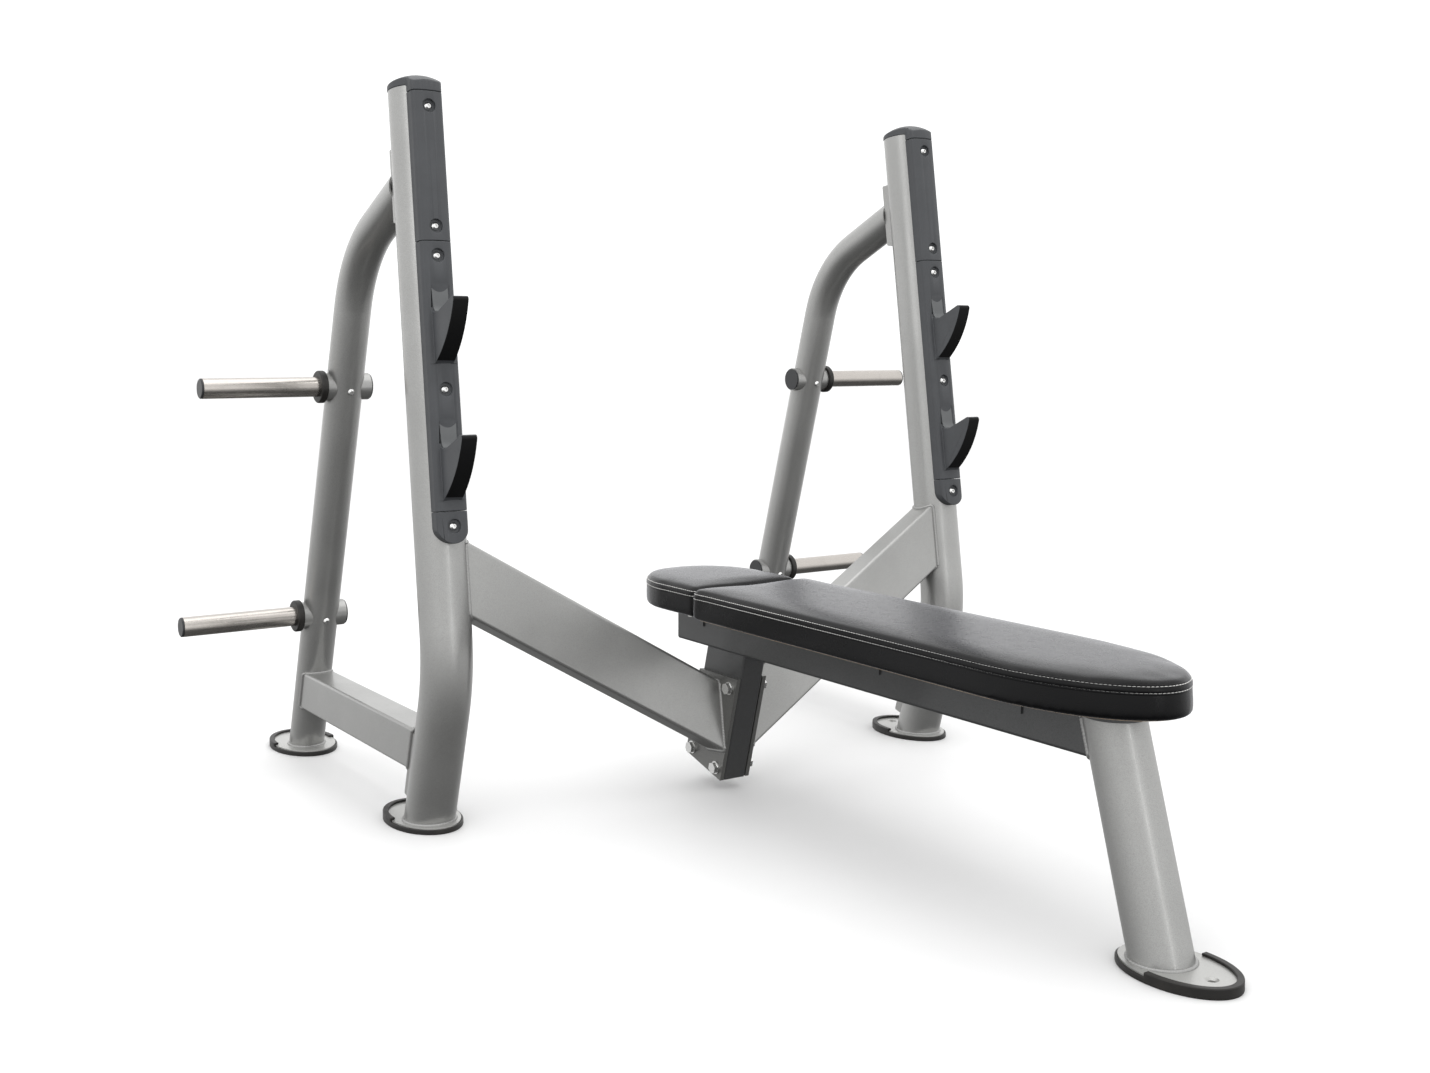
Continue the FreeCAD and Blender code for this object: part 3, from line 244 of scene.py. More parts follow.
def shaded(colour: Triple, factor: float, lift: float = 0.0) -> Triple:
    """The colour times a factor, plus a little grey."""
    red, green, blue = (c * factor + lift for c in colour)
    return red, green, blue


class Sheet:
    """A material's node sheet: adds nodes and joins them with few words."""

    def __init__(self, name: str) -> None:
        """Starts a new material with one surface shader."""
        self.material = bpy.data.materials.new(name)
        self.material.use_nodes = True
        self.tree = self.material.node_tree
        self.shader = self.tree.nodes["Principled BSDF"]
        self.place = self.tree.nodes.new("ShaderNodeTexCoord").outputs["Object"]

    def node(self, kind: str, **values: object) -> bpy.types.Node:
        """Adds a node; a value that names an input sets or links it, any other sets the node's own choice.

        Args:
            kind: the node's type, without its first word.
            values: numbers, outputs or choices, by name.

        Returns:
            The new node.
        """
        made = self.tree.nodes.new("ShaderNode" + kind)
        for key, value in values.items():
            name = key.replace("_", " ").title() if key.islower() else key
            if name in made.inputs:
                self.put(made.inputs[name], value)
            else:
                setattr(made, key, value)
        return made

    def put(self, socket: Socket, value: object) -> None:
        """Links an output to the socket, or sets the socket's own value.

        Args:
            socket: an input.
            value: an output, or a plain value.
        """
        if isinstance(value, bpy.types.NodeSocket):
            self.tree.links.new(value, socket)
        else:
            socket.default_value = value

    def noise(self, scale: float, detail: float = 2.0, rough: float = 0.5,
              stretch: Optional[Triple] = None) -> Socket:
        """Noise over the object's own coordinates.

        Args:
            scale: waves to the metre, about.
            detail: finer layers.
            rough: weight of the finer layers.
            stretch: factor along each axis.

        Returns:
            The noise, from 0 to 1.
        """
        source = self.place
        if stretch:
            source = self.node("Mapping", vector=source, scale=stretch).outputs["Vector"]
        made = self.node("TexNoise", vector=source, scale=scale, detail=detail, roughness=rough)
        return made.outputs["Fac"]

    def cells(self, scale: float) -> Socket:
        """Distance to the nearest cell point of a voronoi pattern, scale cells to the metre."""
        return self.node("TexVoronoi", vector=self.place, scale=scale, feature="F1").outputs["Distance"]

    def span(self, value: Socket, low: float, high: float, start: float = 0.0, stop: float = 1.0) -> Socket:
        """Carries a value from one range to another, held at the ends.

        Args:
            value: the value.
            low: result at start.
            high: result at stop.
            start: lowest value in.
            stop: highest value in.

        Returns:
            The carried value.
        """
        made = self.node("MapRange")
        self.put(made.inputs["Value"], value)
        for key, number in (("From Min", start), ("From Max", stop), ("To Min", low), ("To Max", high)):
            made.inputs[key].default_value = number
        return made.outputs["Result"]

    def blend(self, share: Socket, a: object, b: object) -> Socket:
        """Mixes two colours.

        Args:
            share: how much of the second colour, from 0 to 1.
            a: the first colour or an output.
            b: the second colour or an output.

        Returns:
            The mixed colour.
        """
        made = self.node("Mix", data_type="RGBA")
        self.put(made.inputs["Factor"], share)
        for socket, value in ((made.inputs[6], a), (made.inputs[7], b)):
            self.put(socket, value if isinstance(value, bpy.types.NodeSocket) else (*value, 1.0))
        return made.outputs[2]

    def sums(self, kind: str, a: object, b: object) -> Socket:
        """One arithmetic step.

        Args:
            kind: the operation.
            a: the first number or an output.
            b: the second number or an output.

        Returns:
            The result.
        """
        made = self.node("Math", operation=kind)
        self.put(made.inputs[0], a)
        self.put(made.inputs[1], b)
        return made.outputs[0]

    def bump(self, height: Socket, strength: float, depth: float, under: Optional[Socket] = None) -> Socket:
        """A bump, laid over another one when given.

        Args:
            height: the pattern that lifts the surface.
            strength: share of the full effect.
            depth: metres from lowest to highest.
            under: the bump below.

        Returns:
            The bent normal.
        """
        made = self.node("Bump", strength=strength, distance=depth)
        self.put(made.inputs["Height"], height)
        if under:
            self.put(made.inputs["Normal"], under)
        return made.outputs["Normal"]

    def surface(self, **values: object) -> Material:
        """Sets or links the shader's sockets.

        Args:
            values: numbers, colours or outputs, by the short name of the socket.

        Returns:
            The finished material.
        """
        for key, value in values.items():
            name = SHADER_SOCKETS.get(key, key.title())
            if name == "Base Color" and isinstance(value, tuple):
                value = (*value, 1.0)
            self.put(self.shader.inputs[name], value)
        return self.material


@dataclass(frozen=True)
class PowderCoat:
    """Metallic powder coat: two flake tones, an orange-peel skin and a little dulling by handling."""

    name: str
    dark: Triple
    light: Triple
    metal: float = 0.72
    roughness: float = 0.34

    def make(self) -> Material:
        """Builds the material: flakes at about 1 mm, peel at about 3 mm, slow drifts of tone over 0.2 m."""
        s = Sheet(self.name)
        flakes = s.span(s.cells(1500.0), 0.0, 1.0, 0.15, 0.75)
        drift = s.noise(5.0, 3.0)
        tone = s.blend(flakes, self.light, self.dark)
        tone = s.blend(s.span(drift, 0.0, 0.30, 0.35, 0.7), tone, shaded(self.dark, 0.82))
        rough = s.sums("ADD", s.span(s.noise(9.0, 4.0, 0.6), -0.04, 0.06, 0.3, 0.7),
                       s.span(s.noise(260.0, 1.0), self.roughness - 0.03, self.roughness + 0.05))
        peel = s.bump(s.noise(330.0, 2.0), 0.10, 0.0006)
        return s.surface(colour=tone, metallic=self.metal, roughness=rough, coat=0.3, coat_roughness=0.1,
                         normal=peel)


@dataclass(frozen=True)
class MouldedPlastic:
    """Spark-textured moulded plastic."""

    name: str
    colour: Triple
    roughness: float = 0.46
    specular: float = 0.42

    def make(self) -> Material:
        """Builds the material: fine leathery grain at about 0.8 mm and slow shine changes."""
        s = Sheet(self.name)
        grain = s.noise(1300.0, 2.0)
        wear = s.span(s.noise(14.0, 5.0, 0.65), 0.0, 1.0, 0.45, 0.72)
        tone = s.blend(s.sums("MULTIPLY", wear, 0.35), self.colour, shaded(self.colour, 1.45, 0.001))
        rough = s.span(s.noise(40.0, 3.0), self.roughness - 0.05, self.roughness + 0.07)
        return s.surface(colour=tone, roughness=rough, specular=self.specular,
                         normal=s.bump(grain, 0.16, 0.0004))


@dataclass(frozen=True)
class Steel:
    """Bare or plated steel, brushed along one axis or bright."""

    name: str
    colour: Triple
    roughness: float
    stretch: Triple = (1.0, 1.0, 1.0)

    def make(self) -> Material:
        """Builds the material: long scratches drive the shine, a few rub marks darken the tone."""
        s = Sheet(self.name)
        lines = s.noise(420.0, 3.0, 0.7, self.stretch)
        marks = s.span(s.noise(38.0, 4.0, 0.7), 0.0, 0.5, 0.5, 0.8)
        tone = s.blend(marks, self.colour, shaded(self.colour, 0.72))
        rough = s.span(lines, self.roughness - 0.08, self.roughness + 0.12, 0.25, 0.75)
        return s.surface(colour=tone, metallic=1.0, roughness=rough, normal=s.bump(lines, 0.12, 0.0003))


@dataclass(frozen=True)
class Rubber:
    """Matte moulded rubber with dust in its grain."""

    name: str
    colour: Triple

    def make(self) -> Material:
        """Builds the material: grain at about 1.5 mm and pale dust in broad patches."""
        s = Sheet(self.name)
        dust = s.span(s.noise(22.0, 5.0, 0.7), 0.0, 0.35, 0.5, 0.8)
        tone = s.blend(dust, self.colour, DUST)
        return s.surface(colour=tone, roughness=s.span(s.noise(80.0), 0.38, 0.55), specular=0.45,
                         normal=s.bump(s.noise(700.0, 2.0), 0.2, 0.0005))


@dataclass(frozen=True)
class Vinyl:
    """Coated upholstery cloth: pebble grain, a soft sheen, and faint creases."""

    name: str
    colour: Triple

    def make(self) -> Material:
        """Builds the material: pebbles at about 1.2 mm from voronoi cells, creases from stretched noise."""
        s = Sheet(self.name)
        pebbles = s.span(s.cells(820.0), 0.0, 1.0, 0.0, 0.6)
        creases = s.noise(34.0, 5.0, 0.62, (1.0, 0.45, 1.0))
        fine = s.bump(pebbles, 0.15, 0.0004)
        skin = s.bump(creases, 0.06, 0.002, fine)
        drift = s.span(s.noise(7.0, 3.0), 0.0, 0.5, 0.35, 0.7)
        tone = s.blend(drift, self.colour, shaded(self.colour, 1.35, 0.001))
        rough = s.span(s.noise(55.0, 3.0), 0.22, 0.31)
        s.shader.inputs["Sheen Roughness"].default_value = 0.28
        s.shader.inputs["Sheen Tint"].default_value = (0.93, 0.94, 1.0, 1.0)
        return s.surface(colour=tone, roughness=rough, specular=0.17, sheen=0.36, normal=skin)


@dataclass(frozen=True)
class Plain:
    """Thread, raw plywood or the floor: a tone broken by noise, with a matching bump."""

    name: str
    dark: Triple
    light: Triple
    scale: float
    roughness: float
    stretch: Triple = (1.0, 1.0, 1.0)
    depth: float = 0.0004

    def make(self) -> Material:
        """Builds the material: the same noise mixes the two tones and lifts the surface."""
        s = Sheet(self.name)
        n = s.noise(self.scale, 4.0, 0.6, self.stretch)
        return s.surface(colour=s.blend(s.span(n, 0.0, 1.0, 0.3, 0.7), self.dark, self.light),
                         roughness=s.span(n, self.roughness - 0.05, self.roughness + 0.05),
                         normal=s.bump(n, 0.2, self.depth))


class Finishes:
    """Every finish of the bench, made once."""

    def __init__(self) -> None:
        """Makes the materials."""
        self.silver = PowderCoat("silver_powder_coat", (0.31, 0.31, 0.302), (0.47, 0.47, 0.462)).make()
        self.graphite = PowderCoat("graphite_powder_coat", (0.06, 0.061, 0.062), (0.115, 0.117, 0.118),
                                   metal=0.5, roughness=0.4).make()
        # painted shade: the flange plates get a coat darker than the frame's silver, standing for the shade
        # in the corner by the centre post
        self.flange = PowderCoat("flange_coat_painted_shade", (0.13, 0.13, 0.125), (0.24, 0.24, 0.232),
                                 metal=0.6, roughness=0.36).make()
        self.bead = PowderCoat("painted_weld", (0.30, 0.30, 0.295), (0.44, 0.44, 0.43),
                               metal=0.6, roughness=0.42).make()
        self.plate = PowderCoat("foot_plate_powder_coat", (0.42, 0.42, 0.405), (0.60, 0.60, 0.585),
                                metal=0.6, roughness=0.38).make()
        self.charcoal = MouldedPlastic("charcoal_plastic", (0.056, 0.059, 0.064)).make()
        # painted shade: near-black for the hook noses' faces that look forward and away from the top light
        self.hook_nose_painted_shade = MouldedPlastic("hook_nose_painted_shade", (0.003, 0.003, 0.0034), 0.62, 0.2).make()
        # lighter grey than the covers: a liner whose grey is also painted light where the saddles face the
        # top light
        self.liner = MouldedPlastic("saddle_liner_grey", (0.115, 0.120, 0.123), 0.45).make()
        self.plug = MouldedPlastic("plug_plastic", (0.025, 0.026, 0.028), 0.4).make()
        self.horn = Steel("brushed_horn_steel", (0.52, 0.49, 0.46), 0.24, (0.03, 1.0, 1.0)).make()
        self.zinc = Steel("bright_zinc", (0.80, 0.80, 0.79), 0.20).make()
        self.rubber = Rubber("boot_rubber", (0.010, 0.009, 0.008)).make()
        self.vinyl = Vinyl("black_vinyl", (0.0032, 0.0032, 0.0036)).make()
        self.thread = Plain("grey_thread", (0.56, 0.555, 0.54), (0.80, 0.79, 0.77), 900.0, 0.7).make()
        self.plywood = Plain("raw_plywood", (0.30, 0.20, 0.11), (0.52, 0.38, 0.23), 60.0, 0.75,
                             stretch=(1.0, 0.1, 8.0)).make()
        self.floor = Plain("pale_floor", (0.83, 0.83, 0.83), (0.85, 0.85, 0.85), 3.0, 0.6).make()


# --------------------------------------------------------------------------- shared geometry of the frame
@dataclass(frozen=True)
class Axis:
    """A straight tube axis in a plane of constant X: a point and a tilt, positive to the rear as it rises."""

    x: float
    y: float
    z: float
    tilt_deg: float

    @property
    def along(self) -> Array:
        """Unit vector up the tube."""
        a = math.radians(self.tilt_deg)
        return np.array([0.0, math.sin(a), math.cos(a)])

    @property
    def ahead(self) -> Array:
        """Unit vector across the tube, to the rear."""
        a = math.radians(self.tilt_deg)
        return np.array([0.0, math.cos(a), -math.sin(a)])

    def at(self, across_x: Array, n: Array, v: Array) -> Array:
        """Points given across the tube and up it.

        Args:
            across_x: sideways from the axis.
            n: to the rear of the axis, square to it.
            v: up the axis.

        Returns:
            Points in the row frame.
        """
        x, n, v = np.broadcast_arrays(np.asarray(across_x, float), np.asarray(n, float), np.asarray(v, float))
        base = np.array([self.x, self.y, self.z])
        sideways = x[..., None] * np.array([1.0, 0, 0])
        return base + sideways + n[..., None] * self.ahead + v[..., None] * self.along


def upper_axis(x: float) -> Axis:
    """Upper upright; v is counted from the lowest rack screw."""
    return Axis(x, 0.2153, 0.5253, 7.73)


def lower_axis(x: float) -> Axis:
    """Upright below the knee."""
    return Axis(x, 0.2638, 0.0, -16.45)


def rear_axis(x: float) -> Axis:
    """Rear tube below its bend."""
    return Axis(x, 0.8803, 0.0, -16.76)


def leg_axis() -> Axis:
    """Front leg."""
    return Axis(0.0, -0.872, 0.0, 15.6)


# --------------------------------------------------------------------------- welds
@dataclass
class Welds:
    """Painted weld beads where one steel piece meets another."""

    finish: Material
    radius: float = 0.0034
    sides: int = 8
    ripple: float = 0.22
    pitch: float = 0.0052
    station: float = 0.0017
    fewest: int = 60

    def bead(self, name: str, path: Array) -> None:
        """One bead along a closed path.

        Args:
            name: the piece's name.
            path: points of its centre line.
        """
        length = np.linalg.norm(np.diff(path, axis=0), axis=1).sum()
        even = resampled(path, max(self.fewest, int(length / self.station)), True)
        rings = swept_bead(even, self.radius, self.sides, self.ripple, self.pitch)
        piece = lofted(name, rings, self.finish, False, 60.0)
        LOG.info("%s", piece.name)

    def round_on_level(self, name: str, tube: Axis, radius: float, z: float = FOOT_PLATE_TOP) -> None:
        """A bead round a tube on a level plate: the tube's circle carried along its axis to that height.

        Args:
            name: the piece's name.
            tube: the tube's axis.
            radius: the tube's radius.
            z: height of the plate's top.
        """
        th = np.linspace(0, 2 * math.pi, 120, endpoint=False)
        p = tube.at(radius * np.cos(th), radius * np.sin(th), 0.0)
        p = p + ((z - p[:, 2]) / tube.along[2])[:, None] * tube.along
        self.bead(name, p)

    @staticmethod
    def box_loop(half_a: float, half_b: float, corner: float = 0.006) -> Array:
        """The outline of a box tube's section with round corners.

        Args:
            half_a: half of its first side.
            half_b: half of its second side.
            corner: radius of its corners.

        Returns:
            Evenly spaced points (a, b).
        """
        th = np.linspace(0, math.pi / 2, 5)
        out = []
        for k, (sa, sb) in enumerate(((1, 1), (-1, 1), (-1, -1), (1, -1))):
            t = th + k * math.pi / 2
            out.append(np.stack([sa * (half_a - corner) + corner * np.cos(t),
                                 sb * (half_b - corner) + corner * np.sin(t)], 1))
        return resampled(np.vstack(out), 160, True)

    @staticmethod
    def onto_tube(points: Array, way: Array, tube: Axis, radius: float) -> Array:
        """Points carried along a direction until they first meet a round tube: the quadratic's near root.

        Args:
            points: N by 3 array.
            way: the direction.
            tube: the tube's axis.
            radius: the tube's radius.

        Returns:
            The points on the tube.
        """
        c = np.array([tube.x, tube.y, tube.z])
        u = tube.along
        rel = points - c
        m = rel - (rel @ u)[:, None] * u
        w = way - (way @ u) * u
        a = w @ w
        b = m @ w
        q = np.maximum(b * b - a * ((m * m).sum(1) - radius ** 2), 0.0)
        return points + ((-b - np.sqrt(q)) / a)[:, None] * way

    @staticmethod
    def onto_plane(points: Array, way: Array, spot: Array, normal: Array) -> Array:
        """Points carried along a direction to a plane.

        Args:
            points: N by 3 array.
            way: the direction.
            spot: a point of the plane.
            normal: square to the plane.

        Returns:
            The points on the plane.
        """
        return points + (((spot - points) @ normal) / (way @ normal))[:, None] * way


def repaint(table: Sequence[Tuple[Tuple[str, ...], Material]]) -> None:
    """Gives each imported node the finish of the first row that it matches.

    Args:
        table: rows of (starts of names, finish).
    """
    for name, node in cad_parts.items():
        for starts, finish in table:
            if name.startswith(starts):
                node.data.materials.clear()
                node.data.materials.append(finish)
                break


@dataclass
class Steelwork:
    """Frame of both racks and the bench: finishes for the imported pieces, and their welds."""

    finishes: Finishes
    brace_low: float = 0.096
    brace_high: float = 0.171
    brace_corner: float = 0.005
    half_width: float = 0.030
    cross_half_height: float = 0.056
    cross_slope_deg: float = 30.76
    cross_point: Tuple[float, float] = (0.052, -0.3762)
    cross_start_x: float = 0.20
    flange_face_x: float = 0.033
    bench_mid_z: float = 0.296

    def dress(self) -> None:
        """Gives every steel node its powder coat."""
        f = self.finishes
        repaint(((("upright_left", "upright_right", "rear_tube_", "rear_joint", "brace_joint", "side_brace_",
                   "cross_beam_", "front_leg", "horn_sleeves_"), f.silver),
                 (("foot_plate_",), f.plate),
                 # the flange plates take the darker coat that paints the shade by the centre post
                 (("flange_plate_",), f.flange),
                 (("bench_beam", "centre_post", "leg_top_plate", "pad_brackets"), f.graphite)))

    def weld(self) -> None:
        """Lays every bead: the feet, the crossed beams and the side braces of each rack, then the bench."""
        w = Welds(self.finishes.bead)
        for side in Side:
            x = side.value * HALF_SPAN
            w.round_on_level("weld_upright_foot_" + side.word, lower_axis(x), MAIN_RADIUS)
            w.round_on_level("weld_rear_foot_" + side.word, rear_axis(x), REAR_RADIUS)
            self.weld_cross_beam(w, side)
            self.weld_brace(w, side)
        w.round_on_level("weld_front_foot", leg_axis(), MAIN_RADIUS)
        ring = w.box_loop(self.half_width, self.half_width)
        pts = np.stack([ring[:, 0], np.full(len(ring), -0.3), self.bench_mid_z + ring[:, 1]], 1)
        w.bead("weld_beam_leg", w.onto_tube(pts, np.array([0.0, -1.0, 0.0]), leg_axis(), MAIN_RADIUS))

    def weld_cross_beam(self, w: Welds, side: Side) -> None:
        """Both ends of a cross beam: its section carried along its slope to the upright and to its plate.

        Args:
            w: the bead maker.
            side: which rack.
        """
        s, x = side.value, side.value * HALF_SPAN
        slope = math.radians(self.cross_slope_deg)
        mid = upper_axis(0.0)
        origin = mid.at(0.0, 0.0, 0.0)
        way = unit(mid.at(s * math.cos(slope), 0.0, math.sin(slope)) - origin)
        rise = unit(mid.at(-s * math.sin(slope), 0.0, math.cos(slope)) - origin)
        loop = w.box_loop(self.half_width, self.cross_half_height)
        ref_x, ref_v = self.cross_point
        start = mid.at(s * self.cross_start_x, 0.0, ref_v + (self.cross_start_x - ref_x) * math.tan(slope))
        pts = start + loop[:, :1] * mid.ahead + loop[:, 1:] * rise
        face = np.array([s * self.flange_face_x, 0, 0])
        w.bead("weld_beam_upright_" + side.word, w.onto_tube(pts, way, upper_axis(x), MAIN_RADIUS))
        w.bead("weld_beam_flange_" + side.word, w.onto_plane(pts, way, face, np.array([1.0, 0, 0])))

    def weld_brace(self, w: Welds, side: Side) -> None:
        """Both ends of a side brace: its section carried level to the rear tube and to the upright's block.

        Args:
            w: the bead maker.
            side: which rack.
        """
        x = side.value * HALF_SPAN
        ring = w.box_loop(self.half_width, (self.brace_high - self.brace_low) / 2, self.brace_corner)
        mid_z = (self.brace_high + self.brace_low) / 2
        pts = np.stack([x + ring[:, 0], np.full(len(ring), 0.5), mid_z + ring[:, 1]], 1)
        back = np.array([0.0, 1.0, 0.0])
        w.bead("weld_brace_rear_" + side.word, w.onto_tube(pts, back, rear_axis(x), REAR_RADIUS))
        low = lower_axis(x)
        block_face = low.at(0.0, 0.05, 0.0)
        w.bead("weld_brace_front_" + side.word, w.onto_plane(pts, back, block_face, low.ahead))


@dataclass
class Fittings:
    """Horns, rings, plugs, screws and boards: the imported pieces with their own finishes."""

    finishes: Finishes

    def dress(self) -> None:
        """Gives each small node its finish."""
        f = self.finishes
        repaint(((("storage_horn",), f.horn),
                 (("stop_rings",), f.rubber),
                 (("horn_end_caps", "sleeve_plugs", "beam_end_plug", "post_end_plug"), f.plug),
                 (("cover_screws", "threaded_inserts", "horn_set_screws", "flange_bolts", "flange_nuts",
                   "flange_washers", "pad_screws"), f.zinc),
                 (("main_board", "head_board"), f.plywood)))


# --------------------------------------------------------------------------- moulded covers and hooks
WELD_WITHIN = 2e-6
FLAT_DEG = 0.6
CRISP_DEG = 32.0


def softened(name: str, node: str, finish: Material, width: float) -> Piece:
    """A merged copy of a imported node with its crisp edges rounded, standing for the node.

    Args:
        name: the new piece's name.
        node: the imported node's name.
        finish: the material.
        width: reach of the rounding from each edge, metres.

    Returns:
        The new piece.
    """
    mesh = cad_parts[node].data.copy()
    mesh.name = name
    shell = bmesh.new()
    shell.from_mesh(mesh)
    bmesh.ops.remove_doubles(shell, verts=shell.verts, dist=WELD_WITHIN)
    bmesh.ops.dissolve_limit(shell, angle_limit=math.radians(FLAT_DEG), verts=shell.verts, edges=shell.edges)
    shell.to_mesh(mesh)
    shell.free()
    piece = dress_mesh(name, mesh, finish, CRISP_DEG)
    bevel = piece.modifiers.new("soft_edges", "BEVEL")
    bevel.width = width
    bevel.segments = 2
    bevel.limit_method = "ANGLE"
    bevel.angle_limit = math.radians(CRISP_DEG)
    bevel.use_clamp_overlap = False
    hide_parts(node)
    LOG.info("%s", name)
    return piece


@dataclass
class Mouldings:
    """Plastic of both racks: caps, upper covers, hook racks whose noses carry painted shade in near-black,
    and liners of the saddles whose lighter grey also paints the light there.
    """

    finishes: Finishes
    face: float = 0.0613
    saddles: Tuple[float, float] = (0.3615, 0.130)
    liner_half: float = 0.0152
    liner_stand: float = 0.0005
    liner_lap: float = 0.0007
    liner_taper: float = 0.0022
    liner_dip: float = 0.11
    cap_edge: float = 0.0014
    cover_edge: float = 0.0007
    end_edge: float = 0.0009
    hook_edge: float = 0.0011
    boot_edge: float = 0.0013
    nose_start: float = 0.0012

    def dress(self) -> None:
        """Rounds every moulding and lines the saddles."""
        plastic = self.finishes.charcoal
        kinds = (("cap_shell_", "upright_cap_", self.cap_edge),
                 ("upper_cover_shell_", "upper_cover_", self.cover_edge),
                 ("rack_end_shell_", "rack_end_cap_", self.end_edge))
        for side in Side:
            for shell, node, edge in kinds:
                softened(shell + side.word, node + side.word, plastic, edge)
            hooks = softened("hook_rack_shell_" + side.word, "hook_rack_" + side.word, plastic,
                             self.hook_edge)
            self.noses(hooks, side)
            for k, v in enumerate(self.saddles):
                self.liner("saddle_liner_%s_%d" % (side.word, k + 1), upper_axis(side.value * HALF_SPAN), v)

    def boots(self) -> None:
        """Rounds the lips of the rubber boots."""
        for name in [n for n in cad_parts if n.startswith("foot_boot_")]:
            shell = name.replace("foot_boot", "boot_shell")
            softened(shell, name, self.finishes.rubber, self.boot_edge)

    def noses(self, piece: Piece, side: Side) -> None:
        """Paints shade on the hooks' noses in near-black: faces ahead of the cover that look forward, not up.

        Args:
            piece: a hook rack.
            side: which rack it is on.
        """
        piece.data.materials.append(self.finishes.hook_nose_painted_shade)
        axis = upper_axis(side.value * HALF_SPAN)
        flat = np.empty(len(piece.data.polygons) * 3)
        piece.data.polygons.foreach_get("center", flat)
        centre = flat.reshape(-1, 3).copy() - np.array([axis.x, axis.y, axis.z])
        piece.data.polygons.foreach_get("normal", flat)
        normal = flat.reshape(-1, 3)
        ahead, up = normal @ axis.ahead, normal @ axis.along
        # painted shade mask: nose faces ahead of the cover that look forward and not up
        dark = (centre @ axis.ahead < -self.face - self.nose_start) & (ahead < -0.25) & (up < 0.75)
        piece.data.polygons.foreach_set("material_index", dark.astype(np.int32))

    def liner(self, name: str, axis: Axis, v: float) -> None:
        """A thin liner that follows the back wall of a saddle down and round its lowest point; its lighter
        grey also paints the light that falls into the saddle.

        Its profile is a list of (behind the cover's face, above the saddle) points.  Across the width the
        upper end drops as one minus the square of the place across, so two points stand up at its corners;
        the width draws in towards the hook.  Both skins are the profile moved out along its own normal.

        Args:
            name: the piece's name.
            axis: the upright's axis.
            v: the saddle's lowest point, up the axis.
        """
        stations = 40
        way = np.array([(3.75, 44.0), (3.4, 37.0), (2.9, 29.0), (2.5, 22.5), (2.1, 16.0), (1.2, 10.6),
                        (-1.2, 5.0), (-5.4, 1.7), (-10.7, 0.3), (-13.7, 0.0), (-17.5, 0.35), (-21.2, 1.2),
                        (-26.5, 2.86)]) * MM
        way = resampled(way, stations, False)
        t = unit(np.gradient(way, axis=0))
        out = np.stack([t[:, 1], -t[:, 0]], 1)
        out = np.where((out[:, :1] * -1.0 + out[:, 1:] * 1.0) > 0, out, -out)
        across = np.linspace(-1.0, 1.0, 17)
        run = np.linspace(0.0, 1.0, stations)
        dip = self.liner_dip * (1.0 - across ** 2)
        along = dip[None, :] + (1.0 - dip[None, :]) * run[:, None]
        half = self.liner_half - self.liner_taper * run[:, None]
        skins = []
        for stand in (self.liner_stand, -self.liner_lap):
            line = way + stand * out
            n = np.interp(along, run, line[:, 0])
            h = np.interp(along, run, line[:, 1])
            skins.append(axis.at(half * across[None, :], n - self.face, h + v))
        rows, cols = skins[0].shape[:2]
        points = np.concatenate([s.reshape(-1, 3) for s in skins])
        size = rows * cols
        rim = np.concatenate([np.arange(cols),
                              np.arange(1, rows) * cols + cols - 1,
                              (rows - 1) * cols + np.arange(cols - 1)[::-1],
                              np.arange(1, rows - 1)[::-1] * cols])
        wall = np.stack([rim, np.roll(rim, -1), np.roll(rim, -1) + size, rim + size], 1)
        front, back = grid_faces(rows, cols, False), grid_faces(rows, cols, False, True) + size
        faces = np.concatenate([front, back, wall])
        mesh = turned_outwards(name, points, faces.tolist())
        dress_mesh(name, mesh, self.finishes.liner, 40.0)
        LOG.info("%s", name)


# --------------------------------------------------------------------------- pads
RAY_START = 0.04
RAY_REACH = 0.09


def rounded_pad(tip: Array, left: Array) -> Array:
    """A pad's outline: its rounded end, then the left corner and its mirror image."""
    return np.vstack([tip, left, left[::-1] * np.array([-1.0, 1.0])])


@dataclass(frozen=True)
class MainOutline:
    """Main pad from above: straight sides, round corners at the head end, half an ellipse at the foot end."""

    half_width: float = 0.134
    foot_y: float = -0.897
    end_run: float = 0.257
    head_y: float = 0.098
    corner: float = 0.018

    def points(self) -> Array:
        """The outline: the ellipse from right to left, then the two quarter circles."""
        w, run, r = self.half_width, self.end_run, self.corner
        e = np.linspace(0, -math.pi, 90)
        tip = np.stack([w * np.cos(e), self.foot_y + run + run * np.sin(e)], 1)
        q = np.linspace(math.pi, math.pi / 2, 9)
        left = np.stack([-w + r + r * np.cos(q), self.head_y - r + r * np.sin(q)], 1)
        return rounded_pad(tip, left)


@dataclass(frozen=True)
class HeadOutline:
    """Head pad from above: small corners at the seam and half an ellipse at the head end."""

    half_width: float = 0.122
    seam_y: float = 0.101
    side_end_y: float = 0.214
    tip_y: float = 0.357
    corner: float = 0.014
    seam_draw: float = 0.002

    def points(self) -> Array:
        """The outline: the ellipse from right to left, then the two quarter circles, drawn in at the seam."""
        w, r = self.half_width, self.corner
        e = np.linspace(0, math.pi, 80)
        tip = np.stack([w * np.cos(e), self.side_end_y + (self.tip_y - self.side_end_y) * np.sin(e)], 1)
        q = np.linspace(math.pi, 1.5 * math.pi, 8)
        left = np.stack([-w + self.seam_draw + r + r * np.cos(q), self.seam_y + r + r * np.sin(q)], 1)
        return rounded_pad(tip, left)


